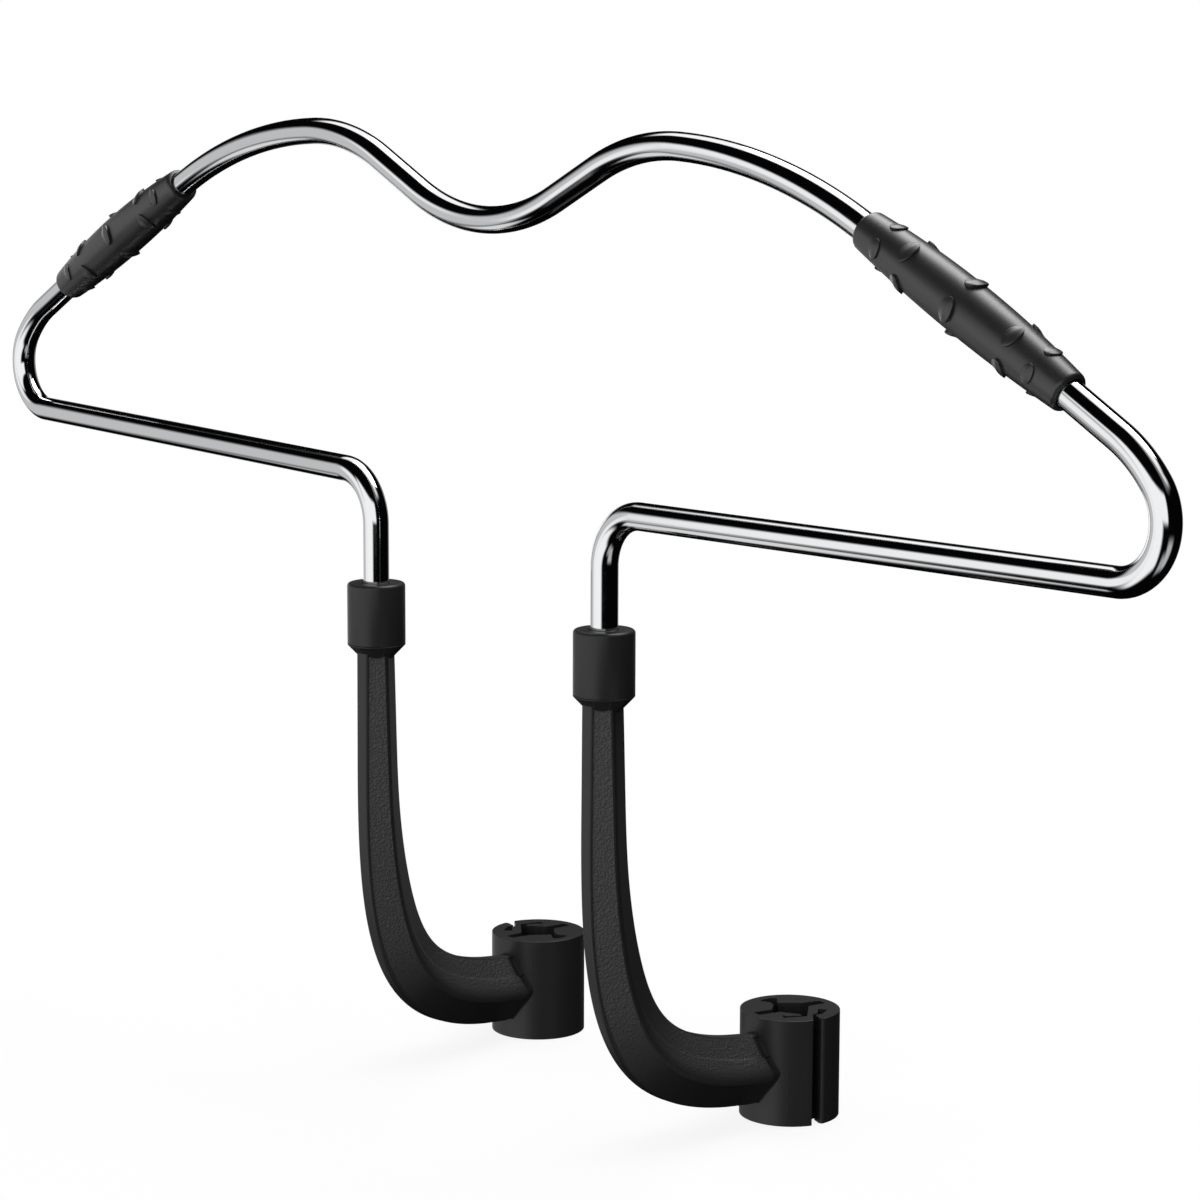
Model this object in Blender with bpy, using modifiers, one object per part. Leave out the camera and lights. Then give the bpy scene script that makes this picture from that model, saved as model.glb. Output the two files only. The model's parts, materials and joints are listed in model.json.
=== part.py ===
"""Car seat hanger: a bent, chromed rod with two rubber sleeves, carried on two swivelling legs.

Each leg is a J-shaped moulding that ends in a split clamp for a headrest post. The rod's ends
stand in the legs' bosses, where a snap ring under a collar holds them and lets the legs turn.

Metres, +Z up, +Y from the hanger towards the headrest. The origin is midway between the
clamps, at half their height, as they stand when both legs point straight back.
"""
import math

import bmesh
import bpy
from mathutils import Matrix, Vector

MM = 0.001

# Clearance between pieces that touch on the real object
GAP = 0.3 * MM

# Rod, from the middle of its dip outwards and round to the upright
ROD_DIAMETER = 7.0 * MM
DIP_RADIUS = 65.5 * MM
DIP_TURN = 25.5
FLANK_LENGTH = 18.25 * MM
CREST_RADIUS = 65.0 * MM
CREST_TURN = 27.9
HUMP_RADIUS = 158.0 * MM
HUMP_TURN = 23.3
SHOULDER_LENGTH = 89.0 * MM
SHOULDER_TURN = 3.05
LEAD_RADIUS = 34.7 * MM
LEAD_TURN = 22.8
CORNER_RADIUS = 13.5 * MM
BAR_SLOPE = 1.07
BAR_BEND_RADIUS = 13.9 * MM
UPRIGHT_SPACING = 95.9 * MM
UPRIGHT_LENGTH = 32.15 * MM
ROD_SIDES = 12
ROD_STEP = 7.5
ROD_STRAIGHT_STEPS = 4

# Rubber sleeves
GRIP_LENGTH = 70.0 * MM
GRIP_DIAMETER = 12.7 * MM
GRIP_END_DIAMETER = 9.5 * MM
GRIP_EDGE = 1.3 * MM
GRIP_EDGE_MIDDLE = (0.15, 0.4)
GRIP_FROM_HUMP = 37.7 * MM
GRIP_SIDES = 24
GRIP_RINGS = 8
GRIP_BORE_RINGS = 4

# Raised tongues on a sleeve: length, width and height of each size
TONGUE_CENTRE = (4.2 * MM, 6.1 * MM, 0.8 * MM)
TONGUE_END = (3.3 * MM, 4.9 * MM, 0.45 * MM)
TONGUE_SIDE = (3.8 * MM, 6.0 * MM, 0.6 * MM)
TONGUE_PITCH = 26.5 * MM
TONGUE_SIDE_PITCH = 0.675 * TONGUE_PITCH
TONGUE_SINK = 0.15 * MM
TONGUE_ROOT = 1.0 * MM
TONGUE_SIDES = 10

# Swivel: collar, boss and snap ring, measured up from the leg's shoulder
COLLAR_DIAMETER = 15.6 * MM
COLLAR_HEIGHT = 16.5 * MM
COLLAR_EDGE = 0.8 * MM
COLLAR_EDGE_STEPS = 4
BOSS_DIAMETER = 12.0 * MM
BOSS_HEIGHT = 9.5 * MM
SOCKET_FLOOR = 1.0 * MM
RING_DIAMETER = 10.4 * MM
RING_THICKNESS = 1.0 * MM
RING_OPENING = 50.0
GROOVE_DEPTH = 0.9 * MM
TURNED_STEPS = 32

# Leg
LEG_REACH = 66.4 * MM
SHOULDER_HEIGHT = 106.8 * MM
CONE_HEIGHT = 3.0 * MM
NECK_DIAMETER = 10.4 * MM
NECK_BLEND = 4.0 * MM
NECK_SHARES = (0.3, 0.65)
LEG_STRAIGHT = 31.0 * MM
ARM_HEIGHT = 1.4 * MM
ARM_STRAIGHT = 14.0 * MM
BEND_DOWN = 0.70
BEND_BACK = 0.86
RIGHT_LEG_TURN = 2.1
LEFT_LEG_TURN = 10.5

# Leg section at five stations along its line: from the line to the nose and to the rear rim,
# half widths of nose, side ridge and rear rim, and how far the ridge stands behind the line
STATIONS = (0.0, 0.3, 0.55, 0.8, 1.0)
LEG_FRONT = (5.9 * MM, 5.9 * MM, 6.5 * MM, 8.2 * MM, 10.0 * MM)
LEG_REAR = (4.7 * MM, 6.4 * MM, 8.7 * MM, 10.0 * MM, 8.6 * MM)
NOSE_HALF = (1.6 * MM, 1.6 * MM, 1.6 * MM, 1.6 * MM, 1.8 * MM)
RIDGE_HALF = (5.3 * MM, 5.7 * MM, 6.1 * MM, 7.0 * MM, 7.9 * MM)
RIM_HALF = (2.3 * MM, 1.8 * MM, 1.7 * MM, 1.6 * MM, 1.7 * MM)
RIDGE_BACK = (-1.8 * MM, -1.4 * MM, -0.6 * MM, 0.6 * MM, -1.5 * MM)
BEAD_HALF = (0.8 * MM, 0.8 * MM, 0.9 * MM, 2.6 * MM, 4.4 * MM)
PANEL_DEPTH = 0.35 * MM
PANEL_STEPS = 3
UNDER_PANEL_FADE = (0.55, 0.75)
FLAT_SHARE = 0.7
RIM_ROUND = 0.4 * MM
STRAIGHT_RINGS = 4
BEND_RINGS = 14

# Clamp
CLAMP_DIAMETER = 26.5 * MM
CLAMP_HEIGHT = 28.6 * MM
CLAMP_EDGE = 0.5 * MM
CLAMP_EDGE_MIDDLE = 0.3 * CLAMP_EDGE
CLAMP_BORE = 9.2 * MM
CLAMP_WALL = 2.4 * MM
CLAMP_SIDES = 48
RIGHT_CLAMP_TURN = 45.0
LEFT_CLAMP_TURN = 225.0

# Outline of the clamp's star-shaped opening. Each point is an angle and a share of the way from
# the bore, 0, to the outer wall, 1. The slit's points past 1 lie outside the clamp.
STAR = (
    (125, 0.20), (58, 0.17), (41, 1.0), (32.5, 1.0), (26.6, 0.12),
    (-60, 0.72), (-99.5, 0.81), (-102.7, 0.63), (-67.7, 0.52), (-63.8, 0.35),
    (-126.6, 0.04), (-140, 1.0), (-149, 1.0), (-153.4, 0.09), (147, 0.09),
    (140.8, 0.27), (136.1, 0.46), (142.4, 0.83), (137.3, 0.95), (119.2, 0.96), (111.2, 0.85),
)
SLIT = (
    (-68.7, 1.74), (-47.7, 0.60), (-31.1, 0.62), (-9.1, 0.48), (-7.4, 0.76),
    (-19.0, 0.83), (-32.7, 0.86), (-45.0, 0.80), (-64.9, 1.81),
)

SMOOTH_ANGLE = math.radians(30)
MERGE = 0.00002


def clear_scene():
    """Remove every object of the open file."""
    for item in list(bpy.data.objects):
        bpy.data.objects.remove(item, do_unlink=True)


def new_collection(name):
    """Add a collection to the scene."""
    collection = bpy.data.collections.new(name)
    bpy.context.scene.collection.children.link(collection)
    return collection


def material(name, colour, roughness, metallic):
    """Make a plain Principled material."""
    result = bpy.data.materials.new(name)
    result.use_nodes = True
    shader = result.node_tree.nodes["Principled BSDF"]
    shader.inputs["Base Color"].default_value = (*colour, 1.0)
    shader.inputs["Roughness"].default_value = roughness
    shader.inputs["Metallic"].default_value = metallic
    result.diffuse_color = (*colour, 1.0)
    return result


def add_object(name, data, collection, parent=None, finish=None):
    """Link an object to a collection, with its parent and its material."""
    result = bpy.data.objects.new(name, data)
    collection.objects.link(result)
    result.parent = parent
    if finish is not None and not data.materials:
        data.materials.append(finish)
    return result


def add_cutter(name, data, collection, parent=None):
    """Link a guide that only shapes other pieces."""
    result = add_object(name, data, collection, parent)
    result.hide_render = True
    result.display_type = 'WIRE'
    return result


def smooth(mesh):
    """Shade a mesh smooth except at its hard edges."""
    mesh.shade_smooth()
    mesh.set_sharp_from_angle(angle=SMOOTH_ANGLE)


def profile_mesh(name, points, closed=False):
    """Edges through (radius, height) points, for turning round Z."""
    edges = [(i, i + 1) for i in range(len(points) - 1)]
    if closed:
        edges.append((len(points) - 1, 0))
    mesh = bpy.data.meshes.new(name)
    mesh.from_pydata([(radius, 0.0, height) for radius, height in points], edges, [])
    return mesh


def turn(item, steps):
    """Turn a profile object round its Z axis."""
    screw = item.modifiers.new("Turn", 'SCREW')
    screw.axis = 'Z'
    screw.angle = math.tau
    screw.steps = steps
    screw.render_steps = steps
    screw.use_merge_vertices = True
    screw.merge_threshold = MERGE
    screw.use_smooth_shade = True
    return item


def boolean(item, other, operation):
    """Join another object to this one or cut it away."""
    modifier = item.modifiers.new(other.name, 'BOOLEAN')
    modifier.operation = operation
    modifier.solver = 'EXACT'
    modifier.object = other


def baked_mesh(item, name):
    """The object's evaluated mesh in its own space, with its doubles welded."""
    bpy.context.view_layer.update()
    mesh = bpy.data.meshes.new_from_object(item.evaluated_get(bpy.context.evaluated_depsgraph_get()))
    mesh.name = name
    body = bmesh.new()
    body.from_mesh(mesh)
    bmesh.ops.remove_doubles(body, verts=body.verts, dist=MERGE)
    bmesh.ops.recalc_face_normals(body, faces=body.faces)
    body.to_mesh(mesh)
    body.free()
    return mesh


def remove(*items):
    """Remove helper objects that have been baked."""
    for item in items:
        bpy.data.objects.remove(item, do_unlink=True)


def arc_length(radius, turn_degrees):
    """Length of an arc."""
    return radius * math.radians(turn_degrees)


def rod_segments():
    """Right half of the rod as (length, turn) runs from the middle of the dip outwards.

    A turn to the left is positive. The lower bar takes the length that brings the upright to
    its place, and the upright the length that brings its end to the socket's floor.
    """
    corner_turn = 180 - BAR_SLOPE + DIP_TURN - CREST_TURN - HUMP_TURN - SHOULDER_TURN - LEAD_TURN
    upper = [
        (arc_length(DIP_RADIUS, DIP_TURN), DIP_TURN),
        (FLANK_LENGTH, 0.0),
        (arc_length(CREST_RADIUS, CREST_TURN), -CREST_TURN),
        (arc_length(HUMP_RADIUS, HUMP_TURN), -HUMP_TURN),
        (SHOULDER_LENGTH, -SHOULDER_TURN),
        (arc_length(LEAD_RADIUS, LEAD_TURN), -LEAD_TURN),
        (arc_length(CORNER_RADIUS, corner_turn), -corner_turn),
    ]
    bend_turn = 90 - BAR_SLOPE
    bend = (arc_length(BAR_BEND_RADIUS, bend_turn), bend_turn)
    heading = math.radians(BAR_SLOPE)
    corner_x = walk(upper, sum(length for length, _ in upper))[0].x
    bend_run = BAR_BEND_RADIUS * (1 - math.sin(heading))
    bar = (corner_x - bend_run - UPRIGHT_SPACING / 2) / math.cos(heading)
    upright = UPRIGHT_LENGTH - SOCKET_FLOOR - GAP
    return upper + [(bar, 0.0), bend, (upright, 0.0)]


def walk(segments, distance):
    """Point (x, 0, z) and heading after a distance along the runs, from (0, 0, 0) heading +X."""
    place = Vector((0.0, 0.0, 0.0))
    heading = 0.0
    for length, turn_degrees in segments:
        part = min(distance, length)
        change = math.radians(turn_degrees) * part / length
        chord = part if change == 0 else part * math.sin(change / 2) / (change / 2)
        middle = heading + change / 2
        place += Vector((chord * math.cos(middle), 0.0, chord * math.sin(middle)))
        heading += change
        distance -= part
        if distance <= 0:
            break
    return place, heading


def rod_stops(segments):
    """Distances along the half rod at which it has a point."""
    stops = [0.0]
    for length, turn_degrees in segments:
        by_angle = math.ceil(abs(turn_degrees) / ROD_STEP)
        steps = max(by_angle, ROD_STRAIGHT_STEPS)
        start = stops[-1]
        stops += [start + length * (i + 1) / steps for i in range(steps)]
    return stops


def rod_origin(segments):
    """Where the middle of the dip lies, so that the uprights end at the sockets' floor."""
    end = walk(segments, sum(length for length, _ in segments))[0]
    floor = SHOULDER_HEIGHT + SOCKET_FLOOR + GAP
    return Vector((0.0, -LEG_REACH, floor - end.z))


def groove_top():
    """Height above the shoulder at which the rod's groove and the collar's cavity end."""
    return BOSS_HEIGHT + RING_THICKNESS + 2 * GAP


def make_rod(parts, cutters, swivels, finish):
    """The bent rod: a swept tube, with a groove near each end for its snap ring."""
    segments = rod_segments()
    origin = rod_origin(segments)
    half = [origin + walk(segments, stop)[0] for stop in rod_stops(segments)]
    left = [Vector((-point.x, point.y, point.z)) for point in reversed(half[1:])]
    points = left + half
    curve = bpy.data.curves.new("rod_line", 'CURVE')
    curve.dimensions = '3D'
    curve.bevel_depth = ROD_DIAMETER / 2
    curve.bevel_resolution = (ROD_SIDES - 4) // 2
    curve.use_fill_caps = True
    spline = curve.splines.new('POLY')
    spline.points.add(len(points) - 1)
    for target, point in zip(spline.points, points):
        target.co = (*point, 1.0)
    line = add_object("rod_line", curve, parts)
    rod = add_object("wire_frame", baked_mesh(line, "wire_frame"), parts, finish=finish)
    rod.matrix_world = line.matrix_world
    remove(line)
    smooth(rod.data)
    groove_floor = ROD_DIAMETER / 2 - GROOVE_DEPTH
    clear = ROD_DIAMETER / 2 + GAP
    profile = [
        (clear, groove_top()),
        (clear, BOSS_HEIGHT),
        (groove_floor, BOSS_HEIGHT),
        (groove_floor, groove_top()),
    ]
    shape = profile_mesh("groove", profile, closed=True)
    for side, swivel in swivels.items():
        cutter = turn(add_cutter(f"{side}_groove", shape, cutters, swivel), TURNED_STEPS)
        boolean(rod, cutter, 'DIFFERENCE')
    return rod


def grip_profile():
    """Sleeve section as (radius, distance from its middle), from its upper end down."""
    bore = ROD_DIAMETER / 2 + GAP
    swell = (GRIP_DIAMETER - GRIP_END_DIAMETER) / 2
    half = GRIP_LENGTH / 2
    edge_start = half - GRIP_EDGE
    outer = []
    for i in range(GRIP_RINGS + 1):
        place = edge_start * (1 - 2 * i / GRIP_RINGS)
        outer.append((GRIP_DIAMETER / 2 - swell * (place / half) ** 2, place))
    rim = outer[0][0] - GRIP_EDGE / 2
    edge = outer[0][0] - GRIP_EDGE * GRIP_EDGE_MIDDLE[0]
    drop = GRIP_EDGE * GRIP_EDGE_MIDDLE[1]
    top = [(bore, half), (rim, half), (edge, half - drop)]
    bottom = [(edge, -half + drop), (rim, -half), (bore, -half)]
    inside = [(bore, -half + GRIP_LENGTH * i / GRIP_BORE_RINGS) for i in range(1, GRIP_BORE_RINGS)]
    return top + outer + bottom + inside


def grip_radius(place):
    """Outer radius of the sleeve at a distance from its middle."""
    swell = (GRIP_DIAMETER - GRIP_END_DIAMETER) / 2
    return GRIP_DIAMETER / 2 - swell * (place / (GRIP_LENGTH / 2)) ** 2


def tongue_places():
    """Every tongue as (place along the sleeve, angle round it, size, side its step faces).

    Angles run from the front over the top. Rows of three alternate with rows of two, and the
    step faces the low end on the front rows and the high end on the rear ones.
    """
    places = []
    for index in range(8):
        angle = -135 + 45 * index
        facing = 1 if -45 <= angle <= 90 else -1
        if angle % 90 == 0:
            row = [(-TONGUE_PITCH, TONGUE_END), (0.0, TONGUE_CENTRE), (TONGUE_PITCH, TONGUE_END)]
        else:
            row = [(-TONGUE_SIDE_PITCH, TONGUE_SIDE), (TONGUE_SIDE_PITCH, TONGUE_SIDE)]
        places += [(place, math.radians(angle), size, facing) for place, size in row]
    return places


def tongue_mesh():
    """All tongues of a sleeve: oval wedges that rise from the sleeve to a curved step."""
    body = bmesh.new()
    for place, angle, (length, width, height), facing in tongue_places():
        made = bmesh.ops.create_cone(
            body, cap_ends=True, cap_tris=True, segments=TONGUE_SIDES,
            radius1=1.0, radius2=1.0, depth=1.0)
        for vert in made["verts"]:
            along = vert.co.x * length / 2
            across = vert.co.y * width / 2
            lift = -TONGUE_ROOT
            if vert.co.z > 0:
                lift = height * (1 + vert.co.x) / 2 - TONGUE_SINK
            vert.co = (along * facing, across, lift)
            spot = place + vert.co.x
            round_by = angle + across / grip_radius(place)
            radius = grip_radius(spot) + lift
            vert.co = (radius * math.cos(round_by), radius * math.sin(round_by), spot)
    bmesh.ops.recalc_face_normals(body, faces=body.faces)
    mesh = bpy.data.meshes.new("tongues")
    body.to_mesh(mesh)
    body.free()
    return mesh


def grip_mesh(parts):
    """Sleeve with its tongues, laid along the right shoulder of the rod."""
    sleeve = turn(add_object("sleeve", profile_mesh("sleeve", grip_profile(), True), parts), GRIP_SIDES)
    tongues = add_object("tongues", tongue_mesh(), parts)
    boolean(sleeve, tongues, 'UNION')
    mesh = baked_mesh(sleeve, "grip")
    remove(sleeve, tongues)
    segments = rod_segments()
    middle = sum(length for length, _ in segments[:4]) + GRIP_FROM_HUMP
    origin = rod_origin(segments)
    for vert in mesh.vertices:
        front, upward, along = vert.co
        place, heading = walk(segments, middle + along)
        across = Vector((-math.sin(heading), 0.0, math.cos(heading)))
        vert.co = place + across * upward + Vector((0.0, -front, origin.z))
    mesh.flip_normals()
    smooth(mesh)
    return mesh


def make_grips(parts, finish):
    """Two like sleeves: the left one is the right one turned half round."""
    mesh = grip_mesh(parts)
    for name, angle in (("right_grip", 0.0), ("left_grip", math.pi)):
        grip = add_object(name, mesh, parts, finish=finish)
        grip.location = (0.0, -LEG_REACH, 0.0)
        grip.rotation_euler.z = angle


def make_rings(parts, cutters, swivels, finish):
    """Open snap rings that ride in the rod's grooves, between boss and collar."""
    bottom = BOSS_HEIGHT + GAP
    inner = ROD_DIAMETER / 2 - GROOVE_DEPTH + GAP
    outer = RING_DIAMETER / 2
    profile = [
        (outer, bottom + RING_THICKNESS),
        (outer, bottom),
        (inner, bottom),
        (inner, bottom + RING_THICKNESS),
    ]
    shape = profile_mesh("ring", profile, closed=True)
    body = bmesh.new()
    bmesh.ops.create_cube(body, size=1.0)
    opening = 2 * inner * math.sin(math.radians(RING_OPENING / 2)) + RING_THICKNESS
    size = Matrix.Diagonal((opening, RING_DIAMETER, 4 * RING_THICKNESS, 1.0))
    place = Matrix.Translation((0.0, -RING_DIAMETER / 2, bottom + RING_THICKNESS / 2))
    bmesh.ops.transform(body, matrix=place @ size, verts=body.verts)
    block = bpy.data.meshes.new("ring_opening")
    body.to_mesh(block)
    body.free()
    for side, swivel in swivels.items():
        ring = add_object(f"{side}_retaining_ring", shape, parts, swivel, finish)
        turn(ring, TURNED_STEPS)
        boolean(ring, add_cutter(f"{side}_ring_opening", block, cutters, swivel), 'DIFFERENCE')


def make_collars(parts, swivels, finish):
    """Caps over the bosses: they close the swivel and carry on the legs' round shoulders."""
    outer = COLLAR_DIAMETER / 2
    hole = ROD_DIAMETER / 2 + GAP
    cavity = BOSS_DIAMETER / 2 + GAP
    top = COLLAR_HEIGHT
    fillet = []
    for i in range(COLLAR_EDGE_STEPS + 1):
        angle = math.pi / 2 * (1 - i / COLLAR_EDGE_STEPS)
        radius = outer - COLLAR_EDGE + COLLAR_EDGE * math.cos(angle)
        fillet.append((radius, top - COLLAR_EDGE + COLLAR_EDGE * math.sin(angle)))
    profile = [(hole, top)] + fillet + [
        (outer, GAP),
        (cavity, GAP),
        (cavity, groove_top()),
        (hole, groove_top()),
    ]
    shape = profile_mesh("collar", profile, closed=True)
    for side, swivel in swivels.items():
        turn(add_object(f"{side}_collar", shape, parts, swivel, finish), TURNED_STEPS)


def blend(values, fraction):
    """Smooth curve through the values at the five stations."""
    last = len(STATIONS) - 1
    fraction = min(max(fraction, STATIONS[0]), STATIONS[last])
    low = max(i for i in range(last) if STATIONS[i] <= fraction)
    slopes = []
    for i in (low, low + 1):
        before, after = max(i - 1, 0), min(i + 1, last)
        slopes.append((values[after] - values[before]) / (STATIONS[after] - STATIONS[before]))
    span = STATIONS[low + 1] - STATIONS[low]
    t = (fraction - STATIONS[low]) / span
    start = values[low] * (2 * t ** 3 - 3 * t ** 2 + 1) + slopes[0] * span * (t ** 3 - 2 * t ** 2 + t)
    end = values[low + 1] * (3 * t ** 2 - 2 * t ** 3) + slopes[1] * span * (t ** 3 - t ** 2)
    return start + end


def ramp(value, low, high):
    """0 below low, 1 above high, smooth between."""
    t = min(max((value - low) / (high - low), 0.0), 1.0)
    return t * t * (3 - 2 * t)


def bend_point(t):
    """Point (back, height) and its direction on the leg's bend, measured from the shoulder."""
    top = -LEG_STRAIGHT
    floor = ARM_HEIGHT - SHOULDER_HEIGHT
    end = LEG_REACH - ARM_STRAIGHT
    controls = (
        Vector((0.0, top)),
        Vector((0.0, top - BEND_DOWN * (top - floor))),
        Vector((end * (1 - BEND_BACK), floor)),
        Vector((end, floor)),
    )
    s = 1 - t
    weights = (s ** 3, 3 * s * s * t, 3 * s * t * t, t ** 3)
    point = sum((c * w for c, w in zip(controls, weights)), Vector((0.0, 0.0)))
    sides = [controls[i + 1] - controls[i] for i in range(3)]
    direction = sides[0] * s * s + sides[1] * 2 * s * t + sides[2] * t * t
    return point, direction.normalized()


def leg_line():
    """Leg line below the cone as (point, direction, fraction of its length)."""
    rings = []
    for i in range(STRAIGHT_RINGS):
        height = -CONE_HEIGHT - NECK_BLEND
        height += (NECK_BLEND + CONE_HEIGHT - LEG_STRAIGHT) * i / STRAIGHT_RINGS
        rings.append((Vector((0.0, height)), Vector((0.0, -1.0))))
    rings += [bend_point(i / BEND_RINGS) for i in range(BEND_RINGS + 1)]
    lengths = [0.0]
    for (before, _), (after, _) in zip(rings, rings[1:]):
        lengths.append(lengths[-1] + (after - before).length)
    start = NECK_BLEND
    total = lengths[-1] + start
    return [(p, d, (start + at) / total) for (p, d), at in zip(rings, lengths)]


def facet(first, last, bead, depth):
    """Panel between two corners of the half section, sunk by depth and ending before a bead."""
    along = (last - first).normalized()
    inward = Vector((-along.y, along.x))
    length = (last - first).length
    stop = length - bead
    start = RIM_ROUND * 2
    inner = [start + (stop - start) * i / PANEL_STEPS for i in range(PANEL_STEPS + 1)]
    return [first + along * place + inward * depth for place in inner]


def mirror(point):
    """The point on the other side of the leg's middle plane."""
    return Vector((point.x, -point.y))


def half_section(fraction):
    """Right half of the leg's section as (forward, sideways) points, from nose to rear rim."""
    front = blend(LEG_FRONT, fraction)
    rear = -blend(LEG_REAR, fraction)
    nose_half = blend(NOSE_HALF, fraction)
    rim_half = blend(RIM_HALF, fraction)
    bead = blend(BEAD_HALF, fraction)
    ridge = Vector((-blend(RIDGE_BACK, fraction), blend(RIDGE_HALF, fraction)))
    nose = Vector((front - RIM_ROUND, nose_half))
    rim = Vector((rear + RIM_ROUND, rim_half))
    under = PANEL_DEPTH * (1 - ramp(fraction, *UNDER_PANEL_FADE))
    front_panel = facet(nose, ridge, bead, under)
    rear_panel = facet(mirror(rim), mirror(ridge), bead, PANEL_DEPTH)
    points = [Vector((front, 0.0)), Vector((front, nose_half * FLAT_SHARE)), nose]
    points += front_panel
    points += [ridge + (nose - ridge).normalized() * bead / 2, ridge]
    points += [ridge + (rim - ridge).normalized() * bead / 2]
    points += [mirror(point) for point in reversed(rear_panel)]
    points += [rim, Vector((rear, rim_half * FLAT_SHARE)), Vector((rear, 0.0))]
    return points


def full_section(half):
    """Close a half section with its mirror image."""
    return half + [mirror(point) for point in reversed(half[1:-1])]


def circle_section(radius, count):
    """Circle with the same number of points as the leg's section."""
    steps = [math.tau * i / count for i in range(count)]
    return [Vector((radius * math.cos(angle), radius * math.sin(angle))) for angle in steps]


def leg_mesh():
    """Boss, round shoulder, cone, neck and J-shaped leg as one lofted body."""
    line = leg_line()
    shape = full_section(half_section(line[0][2]))
    count = len(shape)
    down = Vector((0.0, -1.0))
    neck = circle_section(NECK_DIAMETER / 2, count)
    boss = circle_section(BOSS_DIAMETER / 2, count)
    shoulder = circle_section(COLLAR_DIAMETER / 2, count)
    rings = [
        (Vector((0.0, BOSS_HEIGHT)), down, boss),
        (Vector((0.0, 0.0)), down, boss),
        (Vector((0.0, 0.0)), down, shoulder),
        (Vector((0.0, -GAP)), down, shoulder),
        (Vector((0.0, -CONE_HEIGHT)), down, neck),
    ]
    for share in NECK_SHARES:
        mixed = [a.lerp(b, ramp(share, 0.0, 1.0)) for a, b in zip(neck, shape)]
        rings.append((Vector((0.0, -CONE_HEIGHT - NECK_BLEND * share)), down, mixed))
    rings += [(p, d, full_section(half_section(f))) for p, d, f in line]
    root = Vector((LEG_REACH - CLAMP_DIAMETER / 4, line[-1][0].y))
    rings.append((root, line[-1][1], rings[-1][2]))
    body = bmesh.new()
    loops = []
    for point, direction, section in rings:
        forward = Vector((direction.y, -direction.x))
        loop = []
        for offset, sideways in section:
            spot = point + forward * offset
            loop.append(body.verts.new((sideways, spot.x, spot.y)))
        loops.append(loop)
    for upper, lower in zip(loops, loops[1:]):
        for i in range(count):
            j = (i + 1) % count
            body.faces.new((upper[i], upper[j], lower[j], lower[i]))
    body.faces.new(loops[0])
    body.faces.new(loops[-1])
    bmesh.ops.recalc_face_normals(body, faces=body.faces)
    mesh = bpy.data.meshes.new("leg")
    body.to_mesh(mesh)
    body.free()
    smooth(mesh)
    return mesh


def clamp_profile():
    """Solid drum of the clamp, with eased edges."""
    radius = CLAMP_DIAMETER / 2
    half = CLAMP_HEIGHT / 2
    return [
        (0.0, half),
        (radius - CLAMP_EDGE, half),
        (radius - CLAMP_EDGE_MIDDLE, half - CLAMP_EDGE_MIDDLE),
        (radius, half - CLAMP_EDGE),
        (radius, CLAMP_EDGE - half),
        (radius - CLAMP_EDGE_MIDDLE, CLAMP_EDGE_MIDDLE - half),
        (radius - CLAMP_EDGE, -half),
        (0.0, -half),
    ]


def prism(name, outline, turned, parts):
    """Upright prism through the clamp, from an outline given in angles and shares."""
    bore = CLAMP_BORE / 2
    reach = CLAMP_DIAMETER / 2 - CLAMP_WALL - bore
    curve = bpy.data.curves.new(name, 'CURVE')
    curve.dimensions = '2D'
    curve.fill_mode = 'BOTH'
    curve.extrude = CLAMP_HEIGHT
    spline = curve.splines.new('POLY')
    spline.use_cyclic_u = True
    spline.points.add(len(outline) - 1)
    for target, (degrees, share) in zip(spline.points, outline):
        angle = math.radians(degrees + turned)
        radius = bore + share * reach
        target.co = (radius * math.cos(angle), radius * math.sin(angle), 0.0, 1.0)
    flat = add_object(name, curve, parts)
    mesh = baked_mesh(flat, name)
    remove(flat)
    return mesh


def make_leg(side, swivel, clamp_turn, parts, cutters, finish):
    """A leg with its clamp, the clamp's openings and the socket for the rod."""
    leg = add_object(f"{side}_leg", leg_mesh(), parts, swivel, finish)
    middle = (0.0, LEG_REACH, -SHOULDER_HEIGHT)
    drum = add_cutter(f"{side}_drum", profile_mesh("drum", clamp_profile()), cutters, swivel)
    turn(drum, CLAMP_SIDES)
    drum.location = middle
    boolean(leg, drum, 'UNION')
    for name, outline in (("star", STAR), ("slit", SLIT)):
        mesh = prism(f"{side}_{name}", outline, clamp_turn, parts)
        cutter = add_cutter(f"{side}_{name}", mesh, cutters, swivel)
        cutter.location = middle
        boolean(leg, cutter, 'DIFFERENCE')
    radius = ROD_DIAMETER / 2 + GAP
    above = BOSS_HEIGHT + ROD_DIAMETER
    profile = [(0.0, above), (radius, above), (radius, SOCKET_FLOOR), (0.0, SOCKET_FLOOR)]
    socket = add_cutter(f"{side}_socket", profile_mesh("socket", profile), cutters, swivel)
    turn(socket, TURNED_STEPS)
    boolean(leg, socket, 'DIFFERENCE')


def make_swivels(parts):
    """Empties on the two swivel axes, turned as the legs stand."""
    swivels = {}
    for side, sign, angle in (("right", 1, RIGHT_LEG_TURN), ("left", -1, LEFT_LEG_TURN)):
        swivel = add_object(f"{side}_swivel", None, parts)
        swivel.location = (sign * UPRIGHT_SPACING / 2, -LEG_REACH, SHOULDER_HEIGHT)
        swivel.rotation_euler.z = math.radians(angle)
        swivels[side] = swivel
    return swivels


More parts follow.
